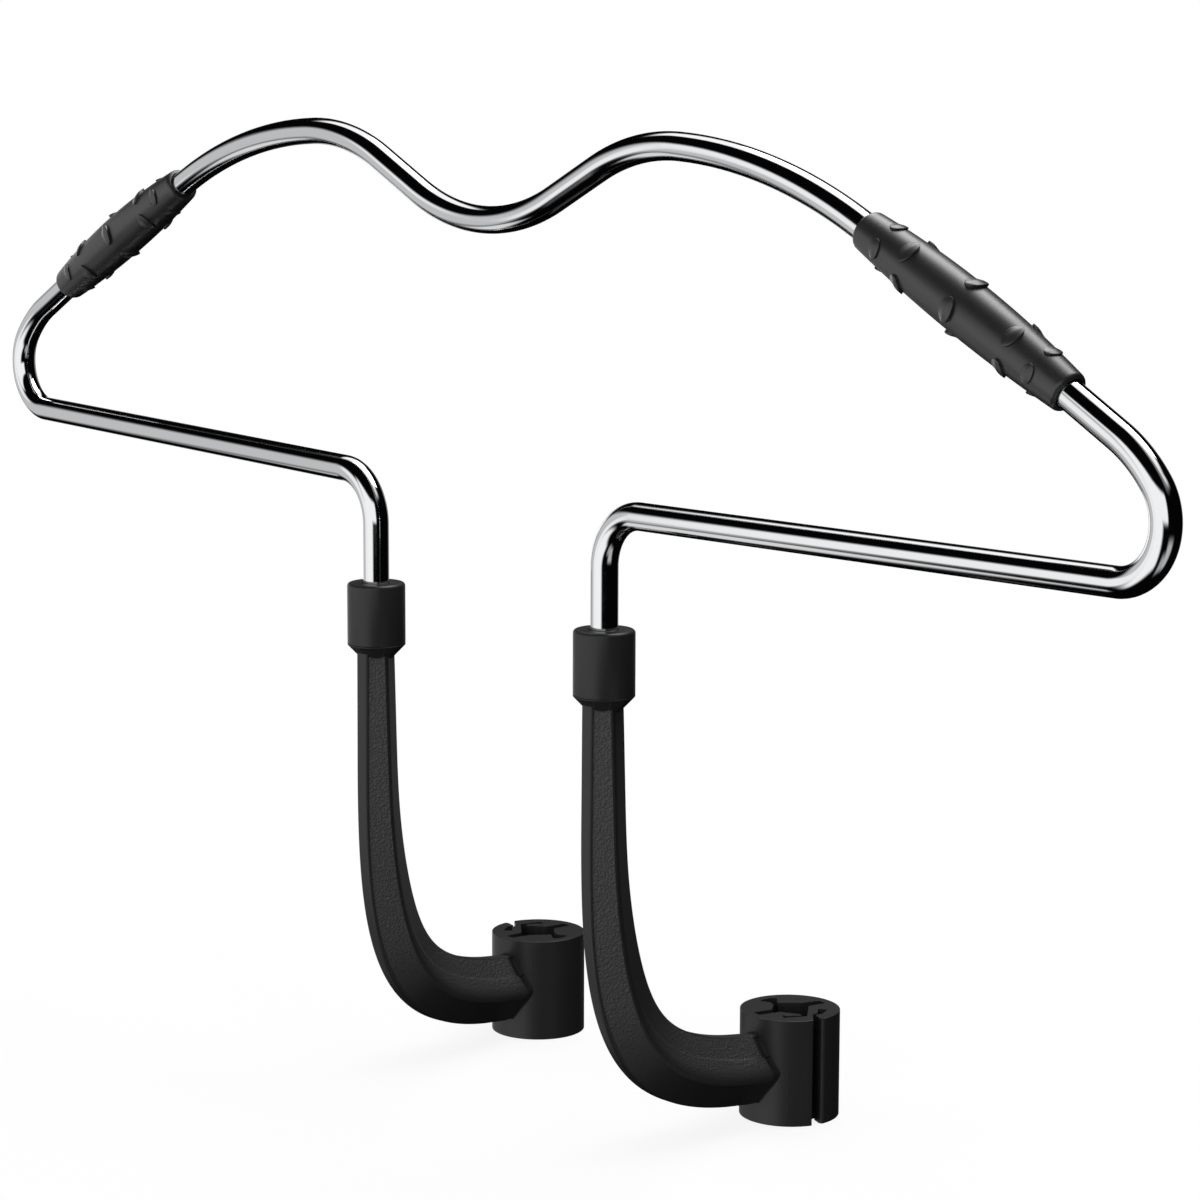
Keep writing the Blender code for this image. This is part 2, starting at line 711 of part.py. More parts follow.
def main():
    """Build the hanger."""
    clear_scene()
    parts = new_collection("car_seat_hanger")
    cutters = new_collection("cutters")
    chrome = material("chrome", (0.80, 0.80, 0.81), 0.06, 1.0)
    steel = material("spring_steel", (0.32, 0.32, 0.33), 0.35, 1.0)
    rubber = material("black_rubber", (0.016, 0.016, 0.017), 0.55, 0.0)
    plastic = material("black_plastic", (0.020, 0.020, 0.021), 0.5, 0.0)
    swivels = make_swivels(parts)
    make_rod(parts, cutters, swivels, chrome)
    make_grips(parts, rubber)
    make_rings(parts, cutters, swivels, steel)
    make_collars(parts, swivels, plastic)
    for side, turned in (("right", RIGHT_CLAMP_TURN), ("left", LEFT_CLAMP_TURN)):
        make_leg(side, swivels[side], turned, parts, cutters, plastic)


main()
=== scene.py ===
# %% [markdown]
# # Dressing a hanger for the back of a car seat
# The engineering model gives every piece its place and its joints. This script loads it and
# gives each piece the shape and the finish that the eye sees: a chromed rod, two rubber
# sleeves, two moulded legs and two caps.

# %% Load the engineering model
import json
import math

import bmesh
import bpy
from mathutils import Matrix, Vector, kdtree


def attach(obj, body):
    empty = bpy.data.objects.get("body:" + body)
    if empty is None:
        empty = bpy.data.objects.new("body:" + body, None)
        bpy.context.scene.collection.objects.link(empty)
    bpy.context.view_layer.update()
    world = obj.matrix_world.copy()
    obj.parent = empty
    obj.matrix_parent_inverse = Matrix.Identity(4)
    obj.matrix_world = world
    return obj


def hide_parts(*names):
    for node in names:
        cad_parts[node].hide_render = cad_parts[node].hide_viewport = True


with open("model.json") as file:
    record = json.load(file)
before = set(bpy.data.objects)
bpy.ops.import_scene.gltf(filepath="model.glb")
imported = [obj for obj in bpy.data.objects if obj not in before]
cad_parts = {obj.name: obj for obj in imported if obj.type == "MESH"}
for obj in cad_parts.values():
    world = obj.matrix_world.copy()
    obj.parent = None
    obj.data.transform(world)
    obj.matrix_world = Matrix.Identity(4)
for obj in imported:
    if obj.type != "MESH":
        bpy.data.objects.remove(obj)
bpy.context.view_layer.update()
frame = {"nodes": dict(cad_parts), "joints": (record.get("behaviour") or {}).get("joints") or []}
print("nodes:", sorted(frame["nodes"]))

# %% [markdown]
# ## Lengths
# Lengths are written in millimetres and turned to Blender's metres once. The hanger lies in
# one upright plane, and each leg is drawn from its own swivel, where the rod goes into it. So
# the two swivels are read from the model's joints, and with them how far the legs reach back
# from the hanger's plane, how high their shoulders are and how far the uprights are apart.

# %% Millimetres, the hanger's plane and the swivels
MM = 0.001
swivels = {}
for joint in frame["joints"]:
    swivels[joint["name"].split("_")[0]] = Vector(joint["pos_m"])
LEG_REACH = round(-swivels["right"].y, 6)
SHOULDER_HEIGHT = round(swivels["right"].z, 6)
UPRIGHT_SPACING = round(swivels["right"].x - swivels["left"].x, 6)
print("swivels:", {side: tuple(round(v, 4) for v in place) for side, place in swivels.items()})

# %% [markdown]
# ## Camera
# The photograph looks at the hanger's right end from a little above, with a long lens. A long
# lens keeps the two ends of the hanger at nearly the same scale.

# %% Camera at the photograph's viewpoint
# Lens in millimetres, place in metres, angles in degrees.
FOCAL_LENGTH = 106.956
CAMERA_PLACE = (0.71815, -0.62188, 0.27100)
CAMERA_HEADING = 50.418
CAMERA_DOWN = 9.163
CAMERA_ROLL = 0.196


def placed(name, data):
    """A new object in the scene."""
    made = bpy.data.objects.new(name, data)
    bpy.context.scene.collection.objects.link(made)
    return made


lens = bpy.data.cameras.new("camera")
lens.sensor_width = 36.0
lens.lens = FOCAL_LENGTH
camera = placed("camera", lens)
heading = Matrix.Rotation(math.radians(CAMERA_HEADING), 4, 'Z')
pitch = Matrix.Rotation(math.radians(90 - CAMERA_DOWN), 4, 'X')
roll = Matrix.Rotation(math.radians(CAMERA_ROLL), 4, 'Z')
camera.matrix_world = Matrix.Translation(CAMERA_PLACE) @ heading @ pitch @ roll
bpy.context.scene.camera = camera
print("lens:", round(lens.lens, 1), "mm")

# %% [markdown]
# ## Helpers for finishes
# Colours are picked as they look on a screen, so one function turns such a hex value into the
# linear numbers that Blender mixes. A second one adds a node to a finish, with its settings,
# its values and what feeds it, so that each finish reads as a short list. A third starts a
# finish. The Scale of a pattern counts its features in a metre, so it is one over their size.

# %% Colour and node helpers
def colour(code):
    """Linear colour with alpha from a screen colour such as '1C1C1D'."""
    channels = [int(code[i:i + 2], 16) / 255 for i in (0, 2, 4)]
    linear = [c / 12.92 if c <= 0.04045 else ((c + 0.055) / 1.055) ** 2.4 for c in channels]
    return (*linear, 1.0)


def add(finish, kind, values=None, links=None, **settings):
    """Add a node: settings are its properties, values its sockets and links what feeds them."""
    node = finish.node_tree.nodes.new(kind)
    for name, value in settings.items():
        setattr(node, name, value)
    for socket, value in (values or {}).items():
        node.inputs[socket].default_value = value
    for socket, source in (links or {}).items():
        finish.node_tree.links.new(source, node.inputs[socket])
    return node


def new_finish(name):
    """An empty material with its coordinates node."""
    finish = bpy.data.materials.new(name)
    finish.use_nodes = True
    finish.node_tree.nodes.clear()
    return finish, add(finish, "ShaderNodeTexCoord").outputs["Object"]


print("mid grey 808080 is", round(colour("808080")[0], 3), "in linear light")

# %% [markdown]
# ## Chrome plating
# The rod is steel wire, bent, polished and plated with bright nickel and chromium. Plating
# mirrors its surroundings, so nearly all of its look comes from the studio. What is its own:
# a faint waviness that the bending and polishing leave, about 8 mm long, and a haze of fine
# rubbing marks, in patches of about 2 mm, that makes the roughness uneven. Both are slight.

# %% Chrome finish
WAVE = 7.7 * MM
PATCH = 2.38 * MM
chrome, place = new_finish("bright_chrome_plating")
waves = add(chrome, "ShaderNodeTexNoise", {"Scale": 1 / WAVE, "Detail": 1.0}, {"Vector": place})
haze = add(chrome, "ShaderNodeTexNoise", {"Scale": 1 / PATCH, "Detail": 4.0}, {"Vector": place})
rough = add(chrome, "ShaderNodeMapRange",
            {"From Min": 0.3, "From Max": 0.7, "To Min": 0.045, "To Max": 0.085},
            {"Value": haze.outputs["Fac"]})
bump = add(chrome, "ShaderNodeBump", {"Strength": 0.12, "Distance": 0.1 * MM},
           {"Height": waves.outputs["Fac"]})
shader = add(chrome, "ShaderNodeBsdfPrincipled",
             {"Base Color": colour("E9EAEC"), "Metallic": 1.0},
             {"Roughness": rough.outputs["Result"], "Normal": bump.outputs["Normal"]})
add(chrome, "ShaderNodeOutputMaterial", None, {"Surface": shader.outputs["BSDF"]})
print("chrome nodes:", len(chrome.node_tree.nodes))

# %% [markdown]
# ## Moulded rubber
# The sleeves are injection moulded in black rubber. A blasted mould leaves a satin skin: very
# fine pits about 0.15 mm wide. They are drawn 0.3 mm wide, because finer ones don't show at
# this distance. Rubber also picks up a little dull bloom, in clouds of about a centimetre,
# which makes it uneven in darkness, and its wax rises to the surface as a thin, satin film,
# drawn as a coat.

# %% Rubber finish
BLOOM = 11.1 * MM
PIT = 0.303 * MM
rubber, place = new_finish("satin_moulded_rubber")
bloom = add(rubber, "ShaderNodeTexNoise", {"Scale": 1 / BLOOM, "Detail": 3.0}, {"Vector": place})
tint = add(rubber, "ShaderNodeMix", {6: colour("171718"), 7: colour("1F1F20")},
           {0: bloom.outputs["Fac"]}, data_type='RGBA')
pits = add(rubber, "ShaderNodeTexNoise", {"Scale": 1 / PIT, "Detail": 2.0}, {"Vector": place})
rough = add(rubber, "ShaderNodeMapRange", {"To Min": 0.36, "To Max": 0.45},
            {"Value": bloom.outputs["Fac"]})
bump = add(rubber, "ShaderNodeBump", {"Strength": 0.12, "Distance": 0.05 * MM},
           {"Height": pits.outputs["Fac"]})
shader = add(rubber, "ShaderNodeBsdfPrincipled",
             {"IOR": 1.52, "Coat Weight": 0.6, "Coat Roughness": 0.34, "Coat IOR": 1.5},
             {"Base Color": tint.outputs[2], "Roughness": rough.outputs["Result"],
              "Normal": bump.outputs["Normal"]})
add(rubber, "ShaderNodeOutputMaterial", None, {"Surface": shader.outputs["BSDF"]})
print("rubber nodes:", len(rubber.node_tree.nodes))

# %% [markdown]
# ## Moulded plastic, satin and grained
# Legs, clamps and caps are injection moulded in black ABS. Most of the mould is finely blasted,
# which gives an even satin surface with specks of about a quarter of a millimetre. The sunken
# panels of the legs are etched instead: a fine leather grain of about 0.4 mm, drawn 0.56 mm
# wide to show from here. It scatters light and looks paler. The leg's mesh says where, with an
# attribute named grain that is 1 on the panels and 0 elsewhere. A piece without the attribute
# reads 0, so one finish serves them all.

# %% Plastic finish
CLOUD = 16.7 * MM
SPECK = 0.238 * MM
LEATHER = 0.5556 * MM
plastic, place = new_finish("moulded_abs_plastic")
mask = add(plastic, "ShaderNodeAttribute", attribute_name="grain")
cloud = add(plastic, "ShaderNodeTexNoise", {"Scale": 1 / CLOUD, "Detail": 3.0}, {"Vector": place})
tint = add(plastic, "ShaderNodeMix", {6: colour("1D1D1E"), 7: colour("222223")},
           {0: cloud.outputs["Fac"]}, data_type='RGBA')
# The paler colour is the grain's own look. On the arm's ridge and brow it is also painted light,
# which lightens the face between them.
paler = add(plastic, "ShaderNodeMix", {7: colour("3E3E3F")},
            {0: mask.outputs["Fac"], 6: tint.outputs[2]}, data_type='RGBA')
blast = add(plastic, "ShaderNodeTexNoise", {"Scale": 1 / SPECK, "Detail": 1.0}, {"Vector": place})
fine = add(plastic, "ShaderNodeMath", {1: 0.012}, {0: blast.outputs["Fac"]}, operation='MULTIPLY')
cells = add(plastic, "ShaderNodeTexVoronoi", {"Scale": 1 / LEATHER}, {"Vector": place},
            feature='SMOOTH_F1')
grain = add(plastic, "ShaderNodeMath", None,
            {0: cells.outputs["Distance"], 1: mask.outputs["Fac"]}, operation='MULTIPLY')
height = add(plastic, "ShaderNodeMath", None, {0: fine.outputs[0], 1: grain.outputs[0]},
             operation='ADD')
bump = add(plastic, "ShaderNodeBump", {"Strength": 1.0, "Distance": 0.42 * MM},
           {"Height": height.outputs[0]})
rough = add(plastic, "ShaderNodeMapRange", {"To Min": 0.40, "To Max": 0.52},
            {"Value": mask.outputs["Fac"]})
shader = add(plastic, "ShaderNodeBsdfPrincipled", {"IOR": 1.53, "Specular IOR Level": 0.4},
             {"Base Color": paler.outputs[2], "Roughness": rough.outputs["Result"],
              "Normal": bump.outputs["Normal"]})
add(plastic, "ShaderNodeOutputMaterial", None, {"Surface": shader.outputs["BSDF"]})
print("plastic nodes:", len(plastic.node_tree.nodes))

# %% [markdown]
# ## Blackened spring steel
# The snap rings are stamped from spring steel and blackened in a hot bath, which leaves a thin
# dark oxide with stamping marks about 1 mm long. They sit inside the caps, and show only if
# these are taken off. The model's own rings have the right shape, so they only get the finish.

# %% Spring steel finish, given to the model's own snap rings
MARK = 1.11 * MM
steel, place = new_finish("blackened_spring_steel")
marks = add(steel, "ShaderNodeTexNoise", {"Scale": 1 / MARK, "Detail": 3.0}, {"Vector": place})
tint = add(steel, "ShaderNodeMix", {6: colour("4A4B4E"), 7: colour("62646A")},
           {0: marks.outputs["Fac"]}, data_type='RGBA')
bump = add(steel, "ShaderNodeBump", {"Strength": 0.2, "Distance": 0.05 * MM},
           {"Height": marks.outputs["Fac"]})
shader = add(steel, "ShaderNodeBsdfPrincipled", {"Metallic": 1.0, "Roughness": 0.38},
             {"Base Color": tint.outputs[2], "Normal": bump.outputs["Normal"]})
add(steel, "ShaderNodeOutputMaterial", None, {"Surface": shader.outputs["BSDF"]})
for side in swivels:
    snap_ring = frame["nodes"][f"{side}_retaining_ring"]
    snap_ring.data.materials.clear()
    snap_ring.data.materials.append(steel)
print("steel nodes:", len(steel.node_tree.nodes))

# %% [markdown]
# ## Helpers for pieces
# Round pieces are turned: a profile is spun once round an upright axis, as on a lathe, and its
# rounded corners are arcs. Every piece ends the same way, as an object at the origin that rides
# on a body of the model and stands for one of its nodes, with its edges sharp where its faces
# meet at a clear angle.

# %% Turning and finishing helpers
def turned(profile, steps):
    """A closed round body from (radius, height) points listed from its axis or its bore."""
    body = bmesh.new()
    verts = [body.verts.new((radius, 0.0, height)) for radius, height in profile]
    edges = [body.edges.new(pair) for pair in zip(verts, verts[1:])]
    if profile[0][0] > 0:
        edges.append(body.edges.new((verts[-1], verts[0])))
    bmesh.ops.spin(body, geom=verts + edges, cent=(0, 0, 0), axis=(0, 0, 1), angle=math.tau,
                   steps=steps, use_merge=True)
    bmesh.ops.remove_doubles(body, verts=body.verts, dist=0.001 * MM)
    bmesh.ops.recalc_face_normals(body, faces=body.faces)
    return body


def to_object(name, body):
    """An object at the origin from a bmesh."""
    mesh = bpy.data.meshes.new(name)
    body.to_mesh(mesh)
    body.free()
    return placed(name, mesh)


def finished(made, finish, body, node, angle=32):
    """Give a piece its finish, its body and the model's node that it stands for."""
    made.data.shade_smooth()
    made.data.set_sharp_from_angle(angle=math.radians(angle))
    made.data.materials.clear()
    made.data.materials.append(finish)
    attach(made, body)
    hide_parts(node)
    faces = len(made.data.polygons)
    print(made.name, "stands for", node, "with", faces, "faces")


def arc(centre, radius, first, last, steps):
    """Points of an arc in a profile, from one angle to another."""
    points = []
    for i in range(steps + 1):
        angle = math.radians(first + (last - first) * i / steps)
        points.append((centre[0] + radius * math.cos(angle), centre[1] + radius * math.sin(angle)))
    return points


print("helpers ready")

# %% [markdown]
# ## The rod
# A wire bender feeds the rod straight, then rolls it round a former, and repeats. The rod is
# made here in the same way: a circle is extruded for each straight run and spun for each bend.
# Each run is a length and a turn to the left, from the middle of the dip outwards to the right
# end, back along the lower bar and down the upright. The left half is its mirror image.

# %% The rod's runs
ROD_RADIUS = 3.5 * MM
DIP_RADIUS = 65.5 * MM
DIP_TURN = 25.5
FLANK = 18.25 * MM
CREST_RADIUS = 65.0 * MM
CREST_TURN = 27.9
HUMP_RADIUS = 158.0 * MM
HUMP_TURN = 23.3
SHOULDER_RUN = 89.0 * MM
SHOULDER_TURN = 3.05
LEAD_RADIUS = 34.7 * MM
LEAD_TURN = 22.8
CORNER_RADIUS = 13.5 * MM
BAR_SLOPE = 1.07


def bend(radius, turn):
    """The run of a bend round a former: its length, and its turn to the left in degrees."""
    return radius * math.radians(abs(turn)), turn


corner_turn = 180 - BAR_SLOPE + DIP_TURN - CREST_TURN - HUMP_TURN - SHOULDER_TURN - LEAD_TURN
runs = [
    bend(DIP_RADIUS, DIP_TURN),
    (FLANK, 0),
    bend(CREST_RADIUS, -CREST_TURN),
    bend(HUMP_RADIUS, -HUMP_TURN),
    (SHOULDER_RUN, -SHOULDER_TURN),
    bend(LEAD_RADIUS, -LEAD_TURN),
    bend(CORNER_RADIUS, -corner_turn),
]
print("corner turns", round(corner_turn, 2), "degrees")

# %% [markdown]
# Later pieces have to know where the rod is, so one function walks along the runs and gives the
# point and the heading after any distance. The lower bar is as long as it has to be for the
# upright to stand over its swivel, and the whole is hung so that the rod's end is 1.3 mm above
# the leg's shoulder, inside the boss.

# %% Follow the rod
BAR_RADIUS = 13.9 * MM
UPRIGHT = 30.85 * MM
END_GAP = 1.3 * MM


def follow(runs, distance):
    """Point and heading in the hanger's plane after a distance from the middle of the dip."""
    point = Vector((0.0, 0.0, 0.0))
    heading = 0.0
    for length, turn in runs:
        part = min(distance, length)
        change = math.radians(turn) * part / length
        chord = part if change == 0 else part * math.sin(change / 2) / (change / 2)
        middle = heading + change / 2
        point += Vector((math.cos(middle), 0.0, math.sin(middle))) * chord
        heading += change
        distance -= part
        if distance <= 0:
            break
    return point, heading


def total(runs):
    """Length of all the runs."""
    return sum(length for length, turn in runs)


corner_end = follow(runs, total(runs))[0]
slope = math.radians(BAR_SLOPE)
bar = corner_end.x - BAR_RADIUS * (1 - math.sin(slope)) - UPRIGHT_SPACING / 2
runs.append((bar / math.cos(slope), 0))
runs.append(bend(BAR_RADIUS, 90 - BAR_SLOPE))
runs.append((UPRIGHT, 0))
end_level = follow(runs, total(runs))[0].z
rod_start = Vector((0.0, -LEG_REACH, SHOULDER_HEIGHT + END_GAP - end_level))
print("rod length:", round(2 * total(runs) * 1000), "mm")

# %% [markdown]
# The half rod starts as a circle in the middle of the dip. A straight run pushes the circle on,
# and a bend spins it round the bend's centre, in steps of at most a degree and a half. The last
# run waits, because it has a groove.

# %% Bend the rod
ROD_SIDES = 48
BEND_STEP = 1.5


def push(body, edges, move, grow=1.0):
    """Extrude a ring of edges, move the new ring and change its width."""
    made = bmesh.ops.extrude_edge_only(body, edges=edges)["geom"]
    verts = [item for item in made if isinstance(item, bmesh.types.BMVert)]
    middle = sum((vert.co for vert in verts), Vector()) / len(verts)
    bmesh.ops.scale(body, vec=(grow, grow, grow), space=Matrix.Translation(-middle), verts=verts)
    bmesh.ops.translate(body, vec=move, verts=verts)
    return [item for item in made if isinstance(item, bmesh.types.BMEdge)]


rod = bmesh.new()
upright_circle = Matrix.Translation(rod_start) @ Matrix.Rotation(math.pi / 2, 4, 'Y')
bmesh.ops.create_circle(rod, segments=ROD_SIDES, radius=ROD_RADIUS, matrix=upright_circle)
ring = rod.edges[:]
distance = 0.0
for length, turn in runs[:-1]:
    point, heading = follow(runs, distance)
    if turn == 0:
        ring = push(rod, ring, Vector((math.cos(heading), 0.0, math.sin(heading))) * length)
    else:
        hand = math.copysign(1, turn)
        radius = length / math.radians(abs(turn))
        inward = Vector((-math.sin(heading), 0.0, math.cos(heading))) * hand
        ends = bmesh.ops.spin(rod, geom=ring, cent=rod_start + point + inward * radius,
                              axis=(0, -hand, 0), angle=math.radians(abs(turn)),
                              steps=math.ceil(abs(turn) / BEND_STEP))
        ring = [item for item in ends["geom_last"] if isinstance(item, bmesh.types.BMEdge)]
    distance += length
print("rod so far:", len(rod.verts), "points")

# %% [markdown]
# Near its end the upright has a turned groove for the snap ring, and the cut end is chamfered.
# Each step is one more push of the ring: in, down, out and down again. Then the half rod is
# mirrored, and its two ends are closed.

# %% Groove, chamfer and mirror image
GROOVE_DEPTH = 0.9 * MM
GROOVE_TOP = 11.1 * MM
GROOVE_FOOT = 9.5 * MM
CHAMFER = 0.5 * MM
END_SHARE = 0.86
MERGE = 0.01 * MM
upright_top = follow(runs, distance)[0].z + rod_start.z - SHOULDER_HEIGHT
slim = (ROD_RADIUS - GROOVE_DEPTH) / ROD_RADIUS
# Each push is how far the ring drops and how it changes its width.
pushes = (
    (upright_top - GROOVE_TOP, 1.0),
    (0.0, slim),
    (GROOVE_TOP - GROOVE_FOOT, 1.0),
    (0.0, 1 / slim),
    (GROOVE_FOOT - END_GAP - CHAMFER, 1.0),
    (CHAMFER, END_SHARE),
)
for drop, grow in pushes:
    ring = push(rod, ring, Vector((0.0, 0.0, -drop)), grow)
bmesh.ops.contextual_create(rod, geom=ring)
bmesh.ops.mirror(rod, geom=rod.verts[:] + rod.edges[:] + rod.faces[:], axis='X',
                 merge_dist=MERGE)
bmesh.ops.remove_doubles(rod, verts=rod.verts, dist=MERGE)
bmesh.ops.recalc_face_normals(rod, faces=rod.faces)
finished(to_object("chromed_rod", rod), chrome, "hanger", "wire_frame")

# %% [markdown]
# ## The sleeves
# Each sleeve is a thick rubber tube, fullest in the middle. Raised tongues stop straps from
# sliding: each is an oval that rises from the sleeve and ends in a curved step. Lifting the
# tube's own points would make ragged steps, because its rows of points don't follow the ovals.
# So the tube is turned first, and each tongue is a disc of its own, joined to it by a Boolean.

# %% Turn the sleeve
TURN_STEPS = 96
ROUND_STEPS = 6
GRIP_HALF = 35.0 * MM
GRIP_FULL = 6.35 * MM
GRIP_SLIM = 4.75 * MM
GRIP_ROUND = 1.1 * MM
GRIP_BORE = ROD_RADIUS + 0.05 * MM
MOUTH_WIDTH = 0.25 * MM
MOUTH_DEPTH = 0.3 * MM
SKIN_ROWS = 80


def grip_radius(along):
    """Radius of the sleeve's skin at a distance from its middle."""
    return GRIP_FULL - (GRIP_FULL - GRIP_SLIM) * (along / GRIP_HALF) ** 2


fold = GRIP_HALF - GRIP_ROUND
edge = grip_radius(fold) - GRIP_ROUND
rows = [fold * (2 * i / SKIN_ROWS - 1) for i in range(1, SKIN_ROWS)]
profile = [(GRIP_BORE, -GRIP_HALF + MOUTH_DEPTH), (GRIP_BORE + MOUTH_WIDTH, -GRIP_HALF)]
profile += arc((edge, -fold), GRIP_ROUND, -90, 0, ROUND_STEPS)
profile += [(grip_radius(along), along) for along in rows]
profile += arc((edge, fold), GRIP_ROUND, 0, 90, ROUND_STEPS)
profile += [(GRIP_BORE + MOUTH_WIDTH, GRIP_HALF), (GRIP_BORE, GRIP_HALF - MOUTH_DEPTH)]
# The bore gets a few rows too, so that it can follow the rod's slight bend.
profile += [(GRIP_BORE, GRIP_HALF * (0.6 - 0.3 * i)) for i in range(5)]
sleeve_object = to_object("sleeve", turned(profile, TURN_STEPS))
print("sleeve profile:", len(profile), "points")

# %% [markdown]
# Eight rows of tongues run along the sleeve. Three tongues on each quarter alternate with two
# on the diagonals. The steps of the front rows face one way, and those of the rear rows the
# other, so that a strap is held whichever way it slides. A tongue's size is its length, its
# width and how high it rises.

# %% Where the tongues stand
PITCH = 26.5 * MM
SIDE_PITCH = PITCH * 0.675
MIDDLE_TONGUE = (4.2 * MM, 6.1 * MM, 0.8 * MM)
END_TONGUE = (3.3 * MM, 4.9 * MM, 0.45 * MM)
SIDE_TONGUE = (3.8 * MM, 6.0 * MM, 0.6 * MM)
tongues = []
for angle in range(-135, 181, 45):
    facing = 1 if -45 <= angle <= 90 else -1
    if angle % 90 == 0:
        row = [(-PITCH, END_TONGUE), (0.0, MIDDLE_TONGUE), (PITCH, END_TONGUE)]
    else:
        row = [(-SIDE_PITCH, SIDE_TONGUE), (SIDE_PITCH, SIDE_TONGUE)]
    tongues += [(along, math.radians(angle), size, facing) for along, size in row]
print("tongues on a sleeve:", len(tongues))

# %% [markdown]
# A tongue starts as a turned disc one unit in radius, with a rounded edge. Its points are read
# as forward, sideways and up, and wrapped on the sleeve, so that it rises from a quarter of its
# height at its tail to a full step at its front. Its root goes into the sleeve for the Boolean.

# %% Lay the tongues on the sleeve
DISC = ((0.0, -1.0), (1.0, -1.0), (1.0, 0.80), (0.983, 0.93), (0.945, 1.0),
        (0.8, 1.0), (0.6, 1.0), (0.4, 1.0), (0.2, 1.0), (0.0, 1.0))
DISC_STEPS = 72
TAIL_SHARE = 0.25
ROOT = 0.6 * MM


def smooth_step(value, low, high):
    """0 below low, 1 above high, smooth between."""
    t = min(max((value - low) / (high - low), 0.0), 1.0)
    return t * t * (3 - 2 * t)


def tongue(middle, centre, size, facing):
    """One tongue at a distance along the sleeve and an angle round it."""
    length, width, height = size
    disc = turned(DISC, DISC_STEPS)
    for vert in disc.verts:
        forward, sideways, level = vert.co
        rise = height * (TAIL_SHARE + (1 - TAIL_SHARE) * smooth_step(forward, -1.0, 0.2))
        along = middle + forward * facing * length / 2
        radius = grip_radius(along) + (level * rise if level >= 0 else -ROOT)
        angle = centre + sideways * (width / 2) / grip_radius(middle)
        vert.co = (radius * math.cos(angle), radius * math.sin(angle), along)
    bmesh.ops.recalc_face_normals(disc, faces=disc.faces)
    return to_object("tongue", disc)


def combine(made, other, operation):
    """Join another object to this one or cut it away, and keep only the result."""
    modifier = made.modifiers.new(operation, 'BOOLEAN')
    modifier.operation = operation
    modifier.solver = 'EXACT'
    modifier.object = other
    bpy.context.view_layer.update()
    result = made.evaluated_get(bpy.context.evaluated_depsgraph_get())
    mesh = bpy.data.meshes.new_from_object(result)
    made.modifiers.clear()
    made.data = mesh
    bpy.data.objects.remove(other)


for details in tongues:
    combine(sleeve_object, tongue(*details), 'UNION')
sleeve = bmesh.new()
sleeve.from_mesh(sleeve_object.data)
bpy.data.objects.remove(sleeve_object)
print("sleeve with its tongues:", len(sleeve.verts), "points")

# %% [markdown]
# The sleeve is pushed on to the rod, which bends a little under it, so each point is carried
# to its place along the rod. The two sleeves are alike: the left one is turned half round.

# %% Put the sleeves on the shoulders
HUMP_TO_SLEEVE = 37.7 * MM
grip_middle = total(runs[:4]) + HUMP_TO_SLEEVE
for vert in sleeve.verts:
    front, upward, along = vert.co
    point, heading = follow(runs, grip_middle + along)
    across = Vector((-math.sin(heading), 0.0, math.cos(heading)))
    vert.co = rod_start + point + across * upward + Vector((0.0, -front, 0.0))
bmesh.ops.recalc_face_normals(sleeve, faces=sleeve.faces)
half_turn = Matrix.Translation((0, -LEG_REACH, 0)) @ Matrix.Rotation(math.pi, 4, 'Z')
half_turn = half_turn @ Matrix.Translation((0, LEG_REACH, 0))
other_sleeve = sleeve.copy()
bmesh.ops.transform(other_sleeve, matrix=half_turn, verts=other_sleeve.verts)
finished(to_object("right_sleeve", sleeve), rubber, "hanger", "right_grip")
finished(to_object("left_sleeve", other_sleeve), rubber, "hanger", "left_grip")

# %% [markdown]
# ## The caps
# A cap sits over each leg's boss and hides the snap ring. It is turned: its top edge is
# rounded, its hole is eased, and it stops a hair above the leg, where the real one parts.

# %% Turn the caps
CAP_RADIUS = 7.8 * MM
CAP_TOP = 16.5 * MM
CAP_ROUND = 0.9 * MM
CAP_EASE = 0.3 * MM
CAP_GAP = 0.05 * MM
FOOT_ROUND = 0.15 * MM
FOOT_STEPS = 3
BOSS_RADIUS = 6.0 * MM
CAVITY = BOSS_RADIUS + 0.3 * MM
CAP_HOLE = ROD_RADIUS + 0.2 * MM
for side, place in swivels.items():
    profile = [(CAP_HOLE, GROOVE_TOP), (CAP_HOLE, CAP_TOP - CAP_EASE)]
    profile += [(CAP_HOLE + CAP_EASE, CAP_TOP)]
    profile += arc((CAP_RADIUS - CAP_ROUND, CAP_TOP - CAP_ROUND), CAP_ROUND, 90, 0, ROUND_STEPS)
    profile += arc((CAP_RADIUS - FOOT_ROUND, CAP_GAP + FOOT_ROUND), FOOT_ROUND, 0, -90,
                   FOOT_STEPS)
    profile += [(CAVITY, CAP_GAP), (CAVITY, GROOVE_TOP)]
    cap = turned(profile, TURN_STEPS)
    bmesh.ops.translate(cap, vec=place, verts=cap.verts)
    made = to_object(f"{side}_cap", cap)
    finished(made, plastic, f"{side}_support", f"{side}_collar")

# %% [markdown]
# ## The legs
# A leg is one moulding: a round boss and cone at the top, a J-shaped bar that grows wider
# towards the seat, and a split clamp. The bar's section is a kite with blunt ends: a flat nose
# in front, a ridge with a softer brow behind it on each side and a narrow rim at the back, with
# sunken, grained panels between them. It changes along the bar, so a flat grid is rolled into a
# tube, with one row of the grid for each section along the bar's line.

# %% Sizes of the bar at five stations along its line
STATIONS = (0.0, 0.3, 0.55, 0.8, 1.0)
